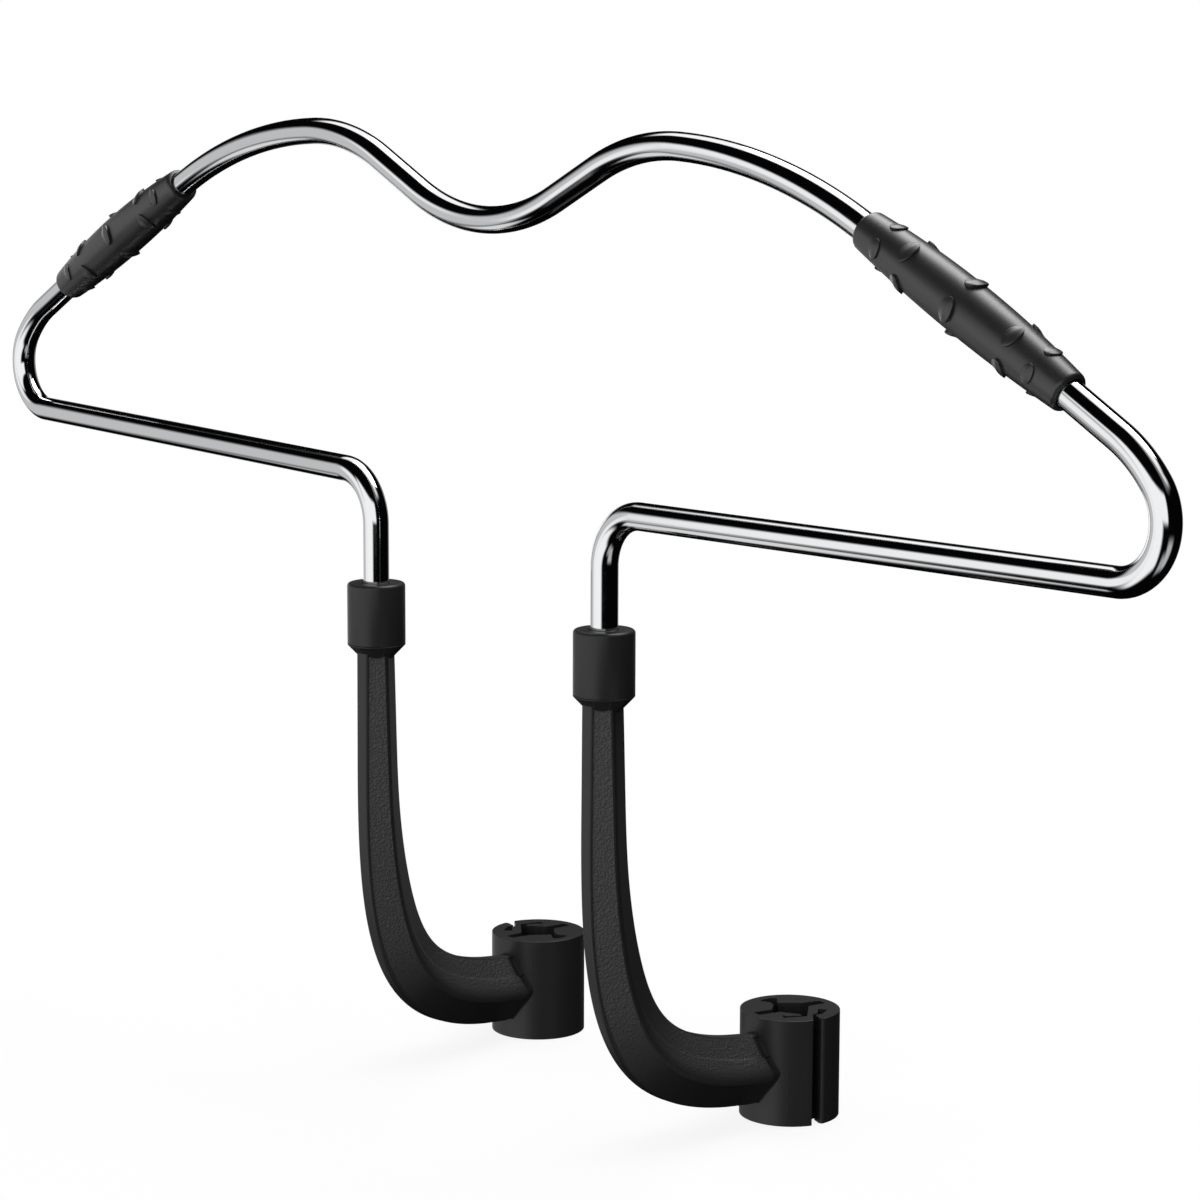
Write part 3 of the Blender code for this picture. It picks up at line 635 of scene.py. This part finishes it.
# In millimetres from the bar's line. FRONT is forwards, HALF to each side, REAR backwards.
NOSE = (5.9, 6.3, 7.2, 8.6, 10.0)
REAR = (4.7, 6.6, 9.0, 10.0, 8.6)
NOSE_HALF = (1.6, 1.6, 1.6, 1.6, 1.8)
RIDGE_HALF = (5.3, 5.7, 6.1, 7.5, 8.2)
RIDGE_FRONT = (1.7, 0.6, -0.4, 0.4, 1.6)
BROW_HALF = (4.95, 5.25, 5.5, 5.75, 6.15)
BROW_FRONT = (0.7, -0.5, -1.8, -3.2, -2.2)
RIM_HALF = (2.3, 1.8, 1.7, 1.6, 1.7)


def blend(values, at):
    """Smooth curve through the values at the five stations, in metres."""
    at = min(max(at, 0.0), 1.0)
    last = len(STATIONS) - 1
    low = max(i for i in range(last) if STATIONS[i] <= at)
    slopes = []
    for i in (low, low + 1):
        before, after = max(i - 1, 0), min(i + 1, last)
        slopes.append((values[after] - values[before]) / (STATIONS[after] - STATIONS[before]))
    span = STATIONS[low + 1] - STATIONS[low]
    t = (at - STATIONS[low]) / span
    start = values[low] * (2 * t ** 3 - 3 * t ** 2 + 1)
    start += slopes[0] * span * (t ** 3 - 2 * t ** 2 + t)
    end = values[low + 1] * (3 * t ** 2 - 2 * t ** 3)
    end += slopes[1] * span * (t ** 3 - t ** 2)
    return (start + end) * MM


print("ridge half width at the bend:", round(blend(RIDGE_HALF, 0.7) * 1000, 2), "mm")

# %% [markdown]
# One half of a section runs from the middle of the nose round to the middle of the rim. Blunt
# corners are short curves. A panel is sunk by 0.5 mm at a soft step on one side, and rises
# evenly from there to its other side. Its points carry a value that the plastic's finish reads
# as grain: 1 in front, and less on top of the arm, where the real one is etched more finely.
# On the arm the ridge and the brow get some too. The face between them has a fine grain, and
# its paler colour is also painted light, which lightens a face that the lamps leave too dark.
# From the bend on, the side panel fades out, the arm's upper panel comes in and the ridge and
# the brow grow softer.

# %% Draw half a section
PANEL_DEPTH = 0.5 * MM
PANEL_STEP = 0.5 * MM
STEP_POINTS = 4
FACE_POINTS = 12
ARM_GRAIN = 0.6
# Grain on the arm's ridge and brow: their real fine grain, and also painted light, because its
# paler colour lightens the face between them.
RIDGE_GRAIN_AND_PAINTED_LIGHT = 0.4 * ARM_GRAIN
BROW_GRAIN_AND_PAINTED_LIGHT = 0.9 * ARM_GRAIN
BLUNT = 0.5 * MM
MARGIN = 0.55 * MM
THIN_EASE = 0.4 * MM
ARM_EASE = 1.5 * MM
BROW_SHARE = 0.8
RIDGE_CLEAR = 0.15 * MM
BROW_CLEAR = 0.1 * MM
FLAT_SHARE = 0.4
BEND_START = 0.55
SIDE_PANEL_END = 0.75
ARM_PANEL_START = 0.8
ARM_EASE_START = 0.85


def rounded(before, corner, after, reach_before, reach_after, steps):
    """Points of a short curve that blunts a corner."""
    start = corner + (before - corner).normalized() * reach_before
    end = corner + (after - corner).normalized() * reach_after
    points = []
    for i in range(steps + 1):
        t = i / steps
        points.append((start.lerp(corner, t)).lerp(corner.lerp(end, t), t))
    return points


def panel(start, end, near, far, depth, amount):
    """Points and grain of a panel: a soft step near its start, and none at its far side."""
    run = end - start
    length = run.length
    along = run / length
    inward = Vector((-along.y, along.x))
    width = length - far - near - PANEL_STEP
    made = []
    for i in range(STEP_POINTS + 1):
        made.append((PANEL_STEP * i / STEP_POINTS, smooth_step(i / STEP_POINTS, 0, 1)))
    made += [(PANEL_STEP + width * i / FACE_POINTS, 1.0) for i in range(1, FACE_POINTS + 1)]
    points = []
    for across, sunk in made:
        low = depth * sunk * (1 - across / (width + PANEL_STEP))
        points.append((start + along * (near + across) + inward * low, sunk * amount))
    return points


def half_section(at, depth):
    """Half a section at a share of the bar's line, as (forward, sideways) points and grain."""
    nose = Vector((blend(NOSE, at), blend(NOSE_HALF, at)))
    ridge = Vector((blend(RIDGE_FRONT, at), blend(RIDGE_HALF, at)))
    brow = Vector((blend(BROW_FRONT, at), blend(BROW_HALF, at)))
    rim = Vector((-blend(REAR, at), blend(RIM_HALF, at)))
    fade = 1 - smooth_step(at, BEND_START, SIDE_PANEL_END)
    rise = smooth_step(at, BEND_START, ARM_PANEL_START)
    soft = smooth_step(at, BEND_START, ARM_EASE_START)
    ease = THIN_EASE + (ARM_EASE - THIN_EASE) * soft
    brow_ease = BROW_SHARE * ease
    made = [(Vector((nose.x, 0.0)), 0.0), (Vector((nose.x, nose.y * FLAT_SHARE)), 0.0)]
    made += [(p, 0.0) for p in rounded(Vector((nose.x, 0.0)), nose, ridge, BLUNT, BLUNT, 4)]
    made += panel(nose, ridge, MARGIN, ease + RIDGE_CLEAR, depth * fade, fade)
    # On the arm, grain on the ridge and brow is partly painted light on the face between them.
    made += [(p, RIDGE_GRAIN_AND_PAINTED_LIGHT * rise) for p in rounded(nose, ridge, brow, ease, ease, 6)]
    made += [(p, BROW_GRAIN_AND_PAINTED_LIGHT * rise) for p in rounded(ridge, brow, rim, brow_ease, brow_ease, 5)]
    made += panel(brow, rim, brow_ease + BROW_CLEAR, MARGIN, depth * rise, ARM_GRAIN * rise)
    made += [(p, 0.0) for p in rounded(brow, rim, Vector((rim.x, 0.0)), BLUNT, BLUNT, 4)]
    made += [(Vector((rim.x, rim.y * FLAT_SHARE)), 0.0), (Vector((rim.x, 0.0)), 0.0)]
    return made


def section(at, depth=PANEL_DEPTH):
    """A whole section: a half and its mirror image."""
    half = half_section(at, depth)
    return half + [(Vector((p.x, -p.y)), grain) for p, grain in reversed(half[1:-1])]


around = len(section(0.0))
print("points round a section:", around)

# %% [markdown]
# The bar's line drops straight from the cone, bends along one smooth curve and runs level into
# the clamp. The curve has two handles: one pulls it down, the other back towards the clamp. The
# stations' shares are counted from 3 mm below the shoulder, where the bar leaves the cone.

# %% The bar's line
STRAIGHT = 31.0 * MM
ARM_LEVEL = 1.4 * MM - SHOULDER_HEIGHT
ARM_END = LEG_REACH - 14.0 * MM
DOWN_PULL = 0.70
BACK_PULL = 0.14
CONE_END = 3.0 * MM
STRAIGHT_ROWS = 40
BEND_ROWS = 130
controls = (
    Vector((0.0, -STRAIGHT)),
    Vector((0.0, -STRAIGHT - DOWN_PULL * (-STRAIGHT - ARM_LEVEL))),
    Vector((ARM_END * BACK_PULL, ARM_LEVEL)),
    Vector((ARM_END, ARM_LEVEL)),
)


def bend_point(t):
    """Point and direction on the bend, as (back, height) from the shoulder."""
    s = 1 - t
    weights = (s ** 3, 3 * s * s * t, 3 * s * t * t, t ** 3)
    point = sum((c * w for c, w in zip(controls, weights)), Vector((0.0, 0.0)))
    sides = [controls[i + 1] - controls[i] for i in range(3)]
    direction = sides[0] * s * s + sides[1] * 2 * s * t + sides[2] * t * t
    return point, direction.normalized()


line = []
for i in range(STRAIGHT_ROWS):
    line.append((Vector((0.0, -STRAIGHT * i / STRAIGHT_ROWS)), Vector((0.0, -1.0))))
line += [bend_point(i / BEND_ROWS) for i in range(BEND_ROWS + 1)]
steps = [(b[0] - a[0]).length for a, b in zip(line, line[1:])]
lengths = [sum(steps[:i]) for i in range(len(line))]
shares = [(length - CONE_END) / (lengths[-1] - CONE_END) for length in lengths]
print("bar's line:", round(lengths[-1] * 1000, 1), "mm")

# %% [markdown]
# Every ring takes a section's points to their place on the line. From 44 mm back on, the rings
# turn step by step into ones that follow the round clamp, at an even distance from it. With
# each point goes its outward direction, square to the section as it would be without panels.

# %% Rings along the bar
CLAMP_RADIUS = 13.25 * MM
LEAVE = 44.0 * MM
BAR_TOP = 0.15 * MM
# In millimetres from the clamp's wall.
GAPS = (3.0, 2.7, 2.4, 2.1, 1.8, 1.5, 1.25, 1.0, 0.75, 0.5, 0.38, 0.26, 0.16, 0.07, -1.0)
BETWEEN = 6


def ring_points(point, direction, at):
    """Points of a ring in the leg's own space, with their outward directions and grain."""
    forward = Vector((direction.y, -direction.x))
    plain = section(at, 0.0)
    made = []
    for i, (offset, grain) in enumerate(section(at)):
        tangent = plain[(i + 1) % around][0] - plain[i - 1][0]
        out = Vector((tangent.y, -tangent.x)).normalized()
        spot = point + forward * offset.x
        aim = forward * out.x
        made.append((Vector((offset.y, spot.x, spot.y)), Vector((out.y, aim.x, aim.y)), grain))
    return made


def near_clamp(aside, gap):
    """How far back a point at a side distance is when it has this gap to the clamp."""
    return LEG_REACH - math.sqrt((CLAMP_RADIUS + gap) ** 2 - aside ** 2)


def between(start, goal, share):
    """A ring part of the way from the last flat one to the first that follows the clamp."""
    made = []
    for (place, out, _), (aim, aim_out, grain) in zip(start, goal):
        beside = Vector((aim.x, near_clamp(aim.x, GAPS[0] * MM), aim.z))
        made.append((place.lerp(beside, share), out.lerp(aim_out, share), grain))
    return made


rings = [ring_points(Vector((0.0, -BAR_TOP)), Vector((0.0, -1.0)), shares[0])]
for (spot, direction), share in zip(line, shares):
    if spot.y < -BAR_TOP and spot.x < LEAVE:
        rings.append(ring_points(spot, direction, share))
last_flat = rings[-1]
clamp_end = ring_points(*line[-1], 1.0)
for i in range(1, BETWEEN + 1):
    rings.append(between(last_flat, clamp_end, i / (BETWEEN + 1)))
print("rings up to the fillet:", len(rings))

# %% [markdown]
# The last rings keep 3 mm down to less than 0.1 mm from the clamp, then one goes 1 mm into its
# wall. The grain and the upper panel end there, the panel at a soft step down. Within the
# fillet's reach each point is pushed outwards along a quarter circle. The fillet is smaller on
# the ridge and on top.

# %% Fillet between arm and clamp
FILLET = 0.5 * MM
RIDGE_LOSS = 0.7
RIDGE_ZONE = (5.6 * MM, 7.4 * MM)
TOP_LOSS = 0.85
TOP_ZONE = (5.5 * MM, 8.2 * MM)
END_STEP = 0.45 * MM
STEP_ZONE = (0.7 * MM, 2.7 * MM)
GRAIN_ZONE = (1.7 * MM, 2.6 * MM)


def filleted(ring, gap):
    """The ring at a gap from the clamp, pushed outwards along the fillet."""
    made = []
    for place, out, grain in ring:
        reach = FILLET * (1 - RIDGE_LOSS * smooth_step(abs(place.x), *RIDGE_ZONE))
        reach *= 1 - TOP_LOSS * smooth_step(place.z - ARM_LEVEL, *TOP_ZONE)
        close = min(max(gap, 0.0), reach)
        push_by = reach - math.sqrt(reach ** 2 - (reach - close) ** 2)
        sunk = END_STEP * grain / ARM_GRAIN * (1 - smooth_step(gap, *STEP_ZONE))
        moved = place + out * (push_by - sunk)
        moved.y = near_clamp(moved.x, gap)
        made.append((moved, out, grain * smooth_step(gap, *GRAIN_ZONE)))
    return made


rings += [filleted(clamp_end, gap * MM) for gap in GAPS]
print("rings in all:", len(rings))

# %% [markdown]
# The grid is rolled up: each of its points goes to one place on one ring, the seam is welded
# and both ends are closed. The grain goes along in an attribute of the points. It is also kept
# in a list with their places, because joining the bar to the rest makes new points.

# %% Roll it up
def rolled(rings):
    """A closed tube from rings of points, with their grain."""
    body = bmesh.new()
    rows = len(rings) - 1
    bmesh.ops.create_grid(body, x_segments=around, y_segments=rows, size=0.5)
    grain_of = body.verts.layers.float.new("grain")
    for vert in body.verts:
        column = round((vert.co.x + 0.5) * around) % around
        row = round((vert.co.y + 0.5) * rows)
        vert.co, _, vert[grain_of] = rings[row][column]
    bmesh.ops.remove_doubles(body, verts=body.verts, dist=0.001 * MM)
    bmesh.ops.holes_fill(body, edges=[e for e in body.edges if e.is_boundary], sides=0)
    bmesh.ops.recalc_face_normals(body, faces=body.faces)
    return body


bar_body = rolled(rings)
grain_of = bar_body.verts.layers.float["grain"]
grains = [(vert.co.copy(), vert[grain_of]) for vert in bar_body.verts]
bar_object = to_object("bar", bar_body)
print("bar:", len(grains), "points")

# %% [markdown]
# The head of the leg is turned: the boss with the socket for the rod, the round shoulder and
# the cone. The cone goes on shrinking inside the bar, so where the two meet, each sunken panel
# ends in an arc, as on the real leg.

# %% Turn the head
CONE_FOOT = 5.0 * MM
CONE_SLIM = 5.2 * MM
CONE_HEIGHT = 2.7 * MM
# Radius and height in millimetres.
SHOULDER_EDGE = ((7.72, -0.38), (7.78, -0.28), (7.8, -0.18), (7.8, -0.05), (7.75, 0.0))
BOSS_TOP = 9.5 * MM
BOSS_EASE = 0.3 * MM
SOCKET_RADIUS = ROD_RADIUS + 0.3 * MM
SOCKET_FLOOR = 1.0 * MM
cone_slope = (CAP_RADIUS - CONE_SLIM) / CONE_HEIGHT
profile = [(0.0, -CONE_FOOT), (CONE_SLIM - cone_slope * (CONE_FOOT - CONE_END), -CONE_FOOT)]
profile += [(radius * MM, height * MM) for radius, height in SHOULDER_EDGE]
profile += [
    (BOSS_RADIUS, 0.0),
    (BOSS_RADIUS, BOSS_TOP - BOSS_EASE),
    (BOSS_RADIUS - BOSS_EASE, BOSS_TOP),
    (SOCKET_RADIUS, BOSS_TOP),
    (SOCKET_RADIUS, SOCKET_FLOOR),
    (0.0, SOCKET_FLOOR),
]
head_object = to_object("head", turned(profile, TURN_STEPS))
print("head:", len(head_object.data.polygons), "faces")

# %% [markdown]
# ## The clamps
# The clamp snaps round a post of the headrest. Seen from above it has a star-shaped opening,
# whose lobes flex, and a hooked slit that lets it open. Both have upright walls, so each is
# drawn from above as angles and shares of the way from the bore to the star's outer reach, a
# wall's thickness inside the drum. It is pushed up into a prism and its corners are eased.

# %% Outlines of the star and the slit
STAR = (
    (125, 0.20), (60, 0.17), (44, 1.0), (30, 1.0), (23, 0.12),
    (-60, 0.72), (-99, 0.86), (-105, 0.49), (-93.6, 0.55), (-67.7, 0.52), (-63.8, 0.35),
    (-122.6, 0.05), (-137, 1.0), (-152, 1.0), (-157, 0.09), (147, 0.09),
    (140.8, 0.27), (136.1, 0.46), (142.4, 0.83), (137.3, 0.95), (119.2, 0.96), (111.2, 0.85),
)
SLIT = (
    (-67.3, 1.81), (-45.6, 0.64), (-31.1, 0.62), (-4.5, 0.46), (-4.4, 0.86), (-19.0, 0.83),
    (-32.7, 0.86), (-43.4, 0.735), (-48.5, 1.125), (-49.1, 1.218), (-48.8, 1.291),
    (-47.8, 1.345), (-46.0, 1.381), (-43.5, 1.401), (-46.8, 1.87),
)
CLAMP_HALF = 14.3 * MM
BORE_RADIUS = 4.6 * MM
WALL = 2.4 * MM
STAR_REACH = CLAMP_RADIUS - WALL - BORE_RADIUS
CORNER_EASE = 0.22 * MM
LEAST_CORNER = 25


def prism(name, outline, turn):
    """An upright prism with eased corners, through the clamp from top to bottom."""
    body = bmesh.new()
    corners = []
    for degrees, share in outline:
        angle = math.radians(degrees + turn)
        radius = BORE_RADIUS + share * STAR_REACH
        spot = (radius * math.cos(angle), radius * math.sin(angle), -2 * CLAMP_HALF)
        corners.append(body.verts.new(spot))
    sides = [body.edges.new(pair) for pair in zip(corners, corners[1:] + corners[:1])]
    foot = bmesh.ops.edgeloop_fill(body, edges=sides)["faces"]
    made = bmesh.ops.extrude_face_region(body, geom=foot)["geom"]
    top = [item for item in made if isinstance(item, bmesh.types.BMVert)]
    bmesh.ops.translate(body, vec=(0, 0, 4 * CLAMP_HALF), verts=top)
    bmesh.ops.recalc_face_normals(body, faces=body.faces)
    uprights = [e for e in body.edges if abs(e.verts[0].co.z - e.verts[1].co.z) > CLAMP_HALF
                and e.calc_face_angle() > math.radians(LEAST_CORNER)]
    bmesh.ops.bevel(body, geom=uprights, offset=CORNER_EASE, offset_type='OFFSET', segments=3,
                    profile=0.5, affect='EDGES', material=-1, clamp_overlap=True)
    return to_object(name, body)


print("star has", len(STAR), "corners, slit has", len(SLIT))

# %% [markdown]
# The drum is turned, and star and slit are cut from it. Cutting leaves sharp edges, which no
# moulding has, so each edge whose faces meet at a clear angle then gets a bevel of 0.1 mm.

# %% Cut the clamps
DRUM_ROUND = 0.2 * MM
DRUM_STEPS = 160
CUT_EASE = 0.1 * MM
CUT_ANGLE = 40


def eased(made, width, least):
    """Bevel the edges of an object whose faces meet at more than an angle."""
    body = bmesh.new()
    body.from_mesh(made.data)
    bmesh.ops.remove_doubles(body, verts=body.verts, dist=0.002 * MM)
    edges = [e for e in body.edges
             if len(e.link_faces) == 2 and e.calc_face_angle() > math.radians(least)]
    bmesh.ops.bevel(body, geom=edges, offset=width, offset_type='OFFSET', segments=2,
                    profile=0.5, affect='EDGES', material=-1, clamp_overlap=True)
    body.to_mesh(made.data)
    body.free()


def clamp(side, turn):
    """The clamp's drum with its openings, in its place below the swivel."""
    rim = CLAMP_RADIUS - DRUM_ROUND
    top = CLAMP_HALF - DRUM_ROUND
    profile = [(0.0, -CLAMP_HALF)] + arc((rim, -top), DRUM_ROUND, -90, 0, 4)
    profile += arc((rim, top), DRUM_ROUND, 0, 90, 4) + [(0.0, CLAMP_HALF)]
    drum = to_object(f"{side}_drum", turned(profile, DRUM_STEPS))
    combine(drum, prism(f"{side}_star", STAR, turn), 'DIFFERENCE')
    combine(drum, prism(f"{side}_slit", SLIT, turn), 'DIFFERENCE')
    eased(drum, CUT_EASE, CUT_ANGLE)
    drum.data.transform(Matrix.Translation((0.0, LEG_REACH, -SHOULDER_HEIGHT)))
    return drum


print("drum:", round(2 * CLAMP_RADIUS * 1000, 1), "mm across")

# %% [markdown]
# Bar, head and clamp are joined into one skin, as they are one moulding. Joining makes new
# points, so each point of the leg then takes its grain from the nearest point of the bar. Where
# a small face meets a large one, the large one's direction counts for more in the shading, so
# that the drum stays even beside the fillet. Each leg is turned a few degrees towards the
# hanger's left end, as photographed, and the two clamps' openings are half a turn apart.

# %% Join each leg and stand it under its swivel
LEG_TURNS = {"right": 2.1, "left": 10.5}
CLAMP_TURNS = {"right": 45, "left": 225}
SAME_PLACE = 0.05 * MM
tree = kdtree.KDTree(len(grains))
for i, (place, grain) in enumerate(grains):
    tree.insert(place, i)
tree.balance()
for side in LEG_TURNS:
    leg = placed(f"{side}_leg_moulding", bar_object.data.copy())
    combine(leg, placed(f"{side}_head", head_object.data.copy()), 'UNION')
    combine(leg, clamp(side, CLAMP_TURNS[side]), 'UNION')
    grain_values = []
    for vert in leg.data.vertices:
        _, index, gap = tree.find(vert.co)
        grain_values.append(grains[index][1] if gap < SAME_PLACE else 0.0)
    old = leg.data.attributes.get("grain")
    if old:
        leg.data.attributes.remove(old)
    leg.data.attributes.new("grain", 'FLOAT', 'POINT').data.foreach_set("value", grain_values)
    turn = Matrix.Rotation(math.radians(LEG_TURNS[side]), 4, 'Z')
    leg.data.transform(Matrix.Translation(swivels[side]) @ turn)
    finished(leg, plastic, f"{side}_support", f"{side}_leg", angle=38)
    even = leg.modifiers.new("even_shading", 'WEIGHTED_NORMAL')
    even.keep_sharp = True
bpy.data.objects.remove(bar_object)
bpy.data.objects.remove(head_object)

# %% [markdown]
# ## The studio
# Chrome is photographed inside a black tent with white windows: it shows only what surrounds
# it, so the windows become its bright bands and the cloth its dark ones. The tent is a sphere
# that only reflections see. Behind it the surroundings are white for the eye, and give the
# hanger a faint, even fill. The tent and the lamps are measured in metres.

# %% White surroundings
FILL = 0.22
world = bpy.data.worlds.new("white_surroundings")
bpy.context.scene.world = world
world.use_nodes = True
world.node_tree.nodes.clear()
seen = add(world, "ShaderNodeLightPath")
direct = add(world, "ShaderNodeMath", None,
             {0: seen.outputs["Is Camera Ray"], 1: seen.outputs["Is Glossy Ray"]},
             operation='MAXIMUM')
white = add(world, "ShaderNodeMath", None,
            {0: direct.outputs[0], 1: seen.outputs["Is Transmission Ray"]}, operation='MAXIMUM')
level = add(world, "ShaderNodeMapRange", {"To Min": FILL, "To Max": 1.0},
            {"Value": white.outputs[0]})
backdrop = add(world, "ShaderNodeBackground", {"Color": colour("FFFFFF")},
               {"Strength": level.outputs["Result"]})
add(world, "ShaderNodeOutputWorld", None, {"Surface": backdrop.outputs["Background"]})
print("fill:", FILL)

# %% [markdown]
# Each window is given as a range of bearings and heights, seen from the hanger: a bearing of 0
# looks back towards the headrest, and 90 to the hanger's right end. Then come its brightness
# and how softly it fades at its edges, in degrees. The cloth keeps the result in an attribute
# of its points, and its finish reads that as light.

# %% Black tent with white windows
WINDOWS = (
    (-90, -28, 39, 89, 1.12, 3),
    (-34, 62, 51, 89, 1.12, 4),
    (54, 80, 40, 86, 0.85, 8),
    (78, 98, 36, 80, 0.22, 8),
    (121, 205, -3, 29, 1.05, 4),
    (154, 214, -46, 8, 1.05, 8),
    (206, 233, -22, 18, 1.0, 6),
    (229, 262, -27, 18, 0.60, 6),
    (236, 264, -46, -31, 0.80, 4),
    (-93, -60, -17, 10, 1.10, 5),
    (76, 108, -58, -22, 0.50, 8),
    (100, 128, -62, -38, 0.40, 8),
    (-42, -14, -14, 12, 0.30, 8),
)
CLOTH = 0.0015
CENTRE = Vector((0.0, -0.06, 0.12))
TENT_RADIUS = 3.0


def glow(spot):
    """How bright the tent is at a point: the brightest window there, or the cloth."""
    bearing = math.degrees(math.atan2(spot.x, spot.y))
    height = math.degrees(math.asin(spot.z / spot.length))
    best = CLOTH
    for first, last, low, high, level, soft in WINDOWS:
        aside = abs(math.remainder(bearing - (first + last) / 2, 360)) - (last - first) / 2
        above = abs(height - (low + high) / 2) - (high - low) / 2
        inside = smooth_step(-aside, -soft, soft) * smooth_step(-above, -soft, soft)
        best = max(best, level * inside)
    return best


tent_body = bmesh.new()
bmesh.ops.create_uvsphere(tent_body, u_segments=180, v_segments=90, radius=TENT_RADIUS)
light_of = tent_body.verts.layers.float.new("light")
for vert in tent_body.verts:
    vert[light_of] = glow(vert.co)
bmesh.ops.translate(tent_body, vec=CENTRE, verts=tent_body.verts)
tent = to_object("tent", tent_body)
cloth, _ = new_finish("black_velvet_with_white_windows")
lit = add(cloth, "ShaderNodeAttribute", attribute_name="light")
shader = add(cloth, "ShaderNodeEmission", None, {"Strength": lit.outputs["Fac"]})
add(cloth, "ShaderNodeOutputMaterial", None, {"Surface": shader.outputs["Emission"]})
tent.data.materials.append(cloth)
for kind in ("camera", "diffuse", "transmission", "volume_scatter", "shadow"):
    setattr(tent, f"visible_{kind}", False)
print("tent faces:", len(tent.data.polygons))

# %% [markdown]
# The floor is a white sheet that the clamps stand on. It keeps their soft shadows. From 60 mm
# out to 350 mm it turns evenly into plain white for the eye, as a sheet does that curves up
# into a white background. Its fibres lie in faint clouds about 3 mm wide.

# %% Floor
FLOOR_RADIUS = 700.0 * MM
FLOOR_GAP = 0.05 * MM
FADE_START = 60.0 * MM
FADE_END = 350.0 * MM
FIBRE = 3.33 * MM
sheet, place = new_finish("white_paper_sheet")
far = add(sheet, "ShaderNodeVectorMath", None, {0: place}, operation='LENGTH')
fade = add(sheet, "ShaderNodeMapRange",
           {"From Min": FADE_START, "From Max": FADE_END, "To Min": 0.86, "To Max": 1.0},
           {"Value": far.outputs["Value"]})
eye = add(sheet, "ShaderNodeLightPath")
whitened = add(sheet, "ShaderNodeMath", None,
               {0: fade.outputs["Result"], 1: eye.outputs["Is Camera Ray"]},
               operation='MULTIPLY')
fibre = add(sheet, "ShaderNodeTexNoise", {"Scale": 1 / FIBRE, "Detail": 2.0}, {"Vector": place})
tint = add(sheet, "ShaderNodeMix", {6: colour("F4F4F4"), 7: colour("FAFAFA")},
           {0: fibre.outputs["Fac"]}, data_type='RGBA')
paper = add(sheet, "ShaderNodeBsdfDiffuse", None, {"Color": tint.outputs[2]})
plain = add(sheet, "ShaderNodeEmission", {"Color": colour("FFFFFF"), "Strength": 1.0})
mixed = add(sheet, "ShaderNodeMixShader", None,
            {0: whitened.outputs[0], 1: paper.outputs["BSDF"], 2: plain.outputs["Emission"]})
add(sheet, "ShaderNodeOutputMaterial", None, {"Surface": mixed.outputs["Shader"]})
floor_body = bmesh.new()
bmesh.ops.create_circle(floor_body, cap_ends=True, segments=96, radius=FLOOR_RADIUS)
floor = to_object("floor", floor_body)
floor.data.transform(Matrix.Translation((0.0, 0.0, -CLAMP_HALF - FLOOR_GAP)))
floor.data.materials.append(sheet)
floor.visible_glossy = False
floor.visible_diffuse = False
print("floor at", round((-CLAMP_HALF - FLOOR_GAP) * 1000, 2), "mm")

# %% [markdown]
# Four softboxes stand inside the tent: a large one on the left, a second in front of the legs,
# a third high on the right, and one above and behind. They model the black plastic and rubber
# with broad, soft highlights. Only the one above is seen in reflections.

# %% Softboxes
def softbox(name, bearing, height, distance, width, depth, level, mirrored):
    """A flat lamp that faces the hanger. Level is how bright its face looks."""
    lamp = bpy.data.lights.new(name, 'AREA')
    lamp.shape = 'RECTANGLE'
    lamp.size = width
    lamp.size_y = depth
    lamp.energy = level * math.pi * width * depth
    stand = placed(name, lamp)
    turn, tilt = math.radians(bearing), math.radians(height)
    away = Vector((math.sin(turn) * math.cos(tilt), math.cos(turn) * math.cos(tilt),
                   math.sin(tilt)))
    stand.location = CENTRE + away * distance
    stand.rotation_euler = away.to_track_quat('Z', 'Y').to_euler()
    stand.visible_camera = False
    stand.visible_glossy = mirrored
    print(name, "power", round(lamp.energy, 2), "W")


softbox("left_softbox", 232, 12, 1.3, 0.9, 1.0, level=1.9, mirrored=False)
softbox("front_softbox", 145, 5, 1.3, 0.9, 1.0, level=3.1, mirrored=False)
softbox("right_softbox", 85, 68, 1.3, 0.9, 0.9, level=2.6, mirrored=False)
softbox("top_softbox", -10, 65, 1.2, 1.2, 0.6, level=4.0, mirrored=True)

# %% [markdown]
# ## View
# Standard view shows colours as they are written.

# %% View
bpy.context.scene.view_settings.view_transform = 'Standard'
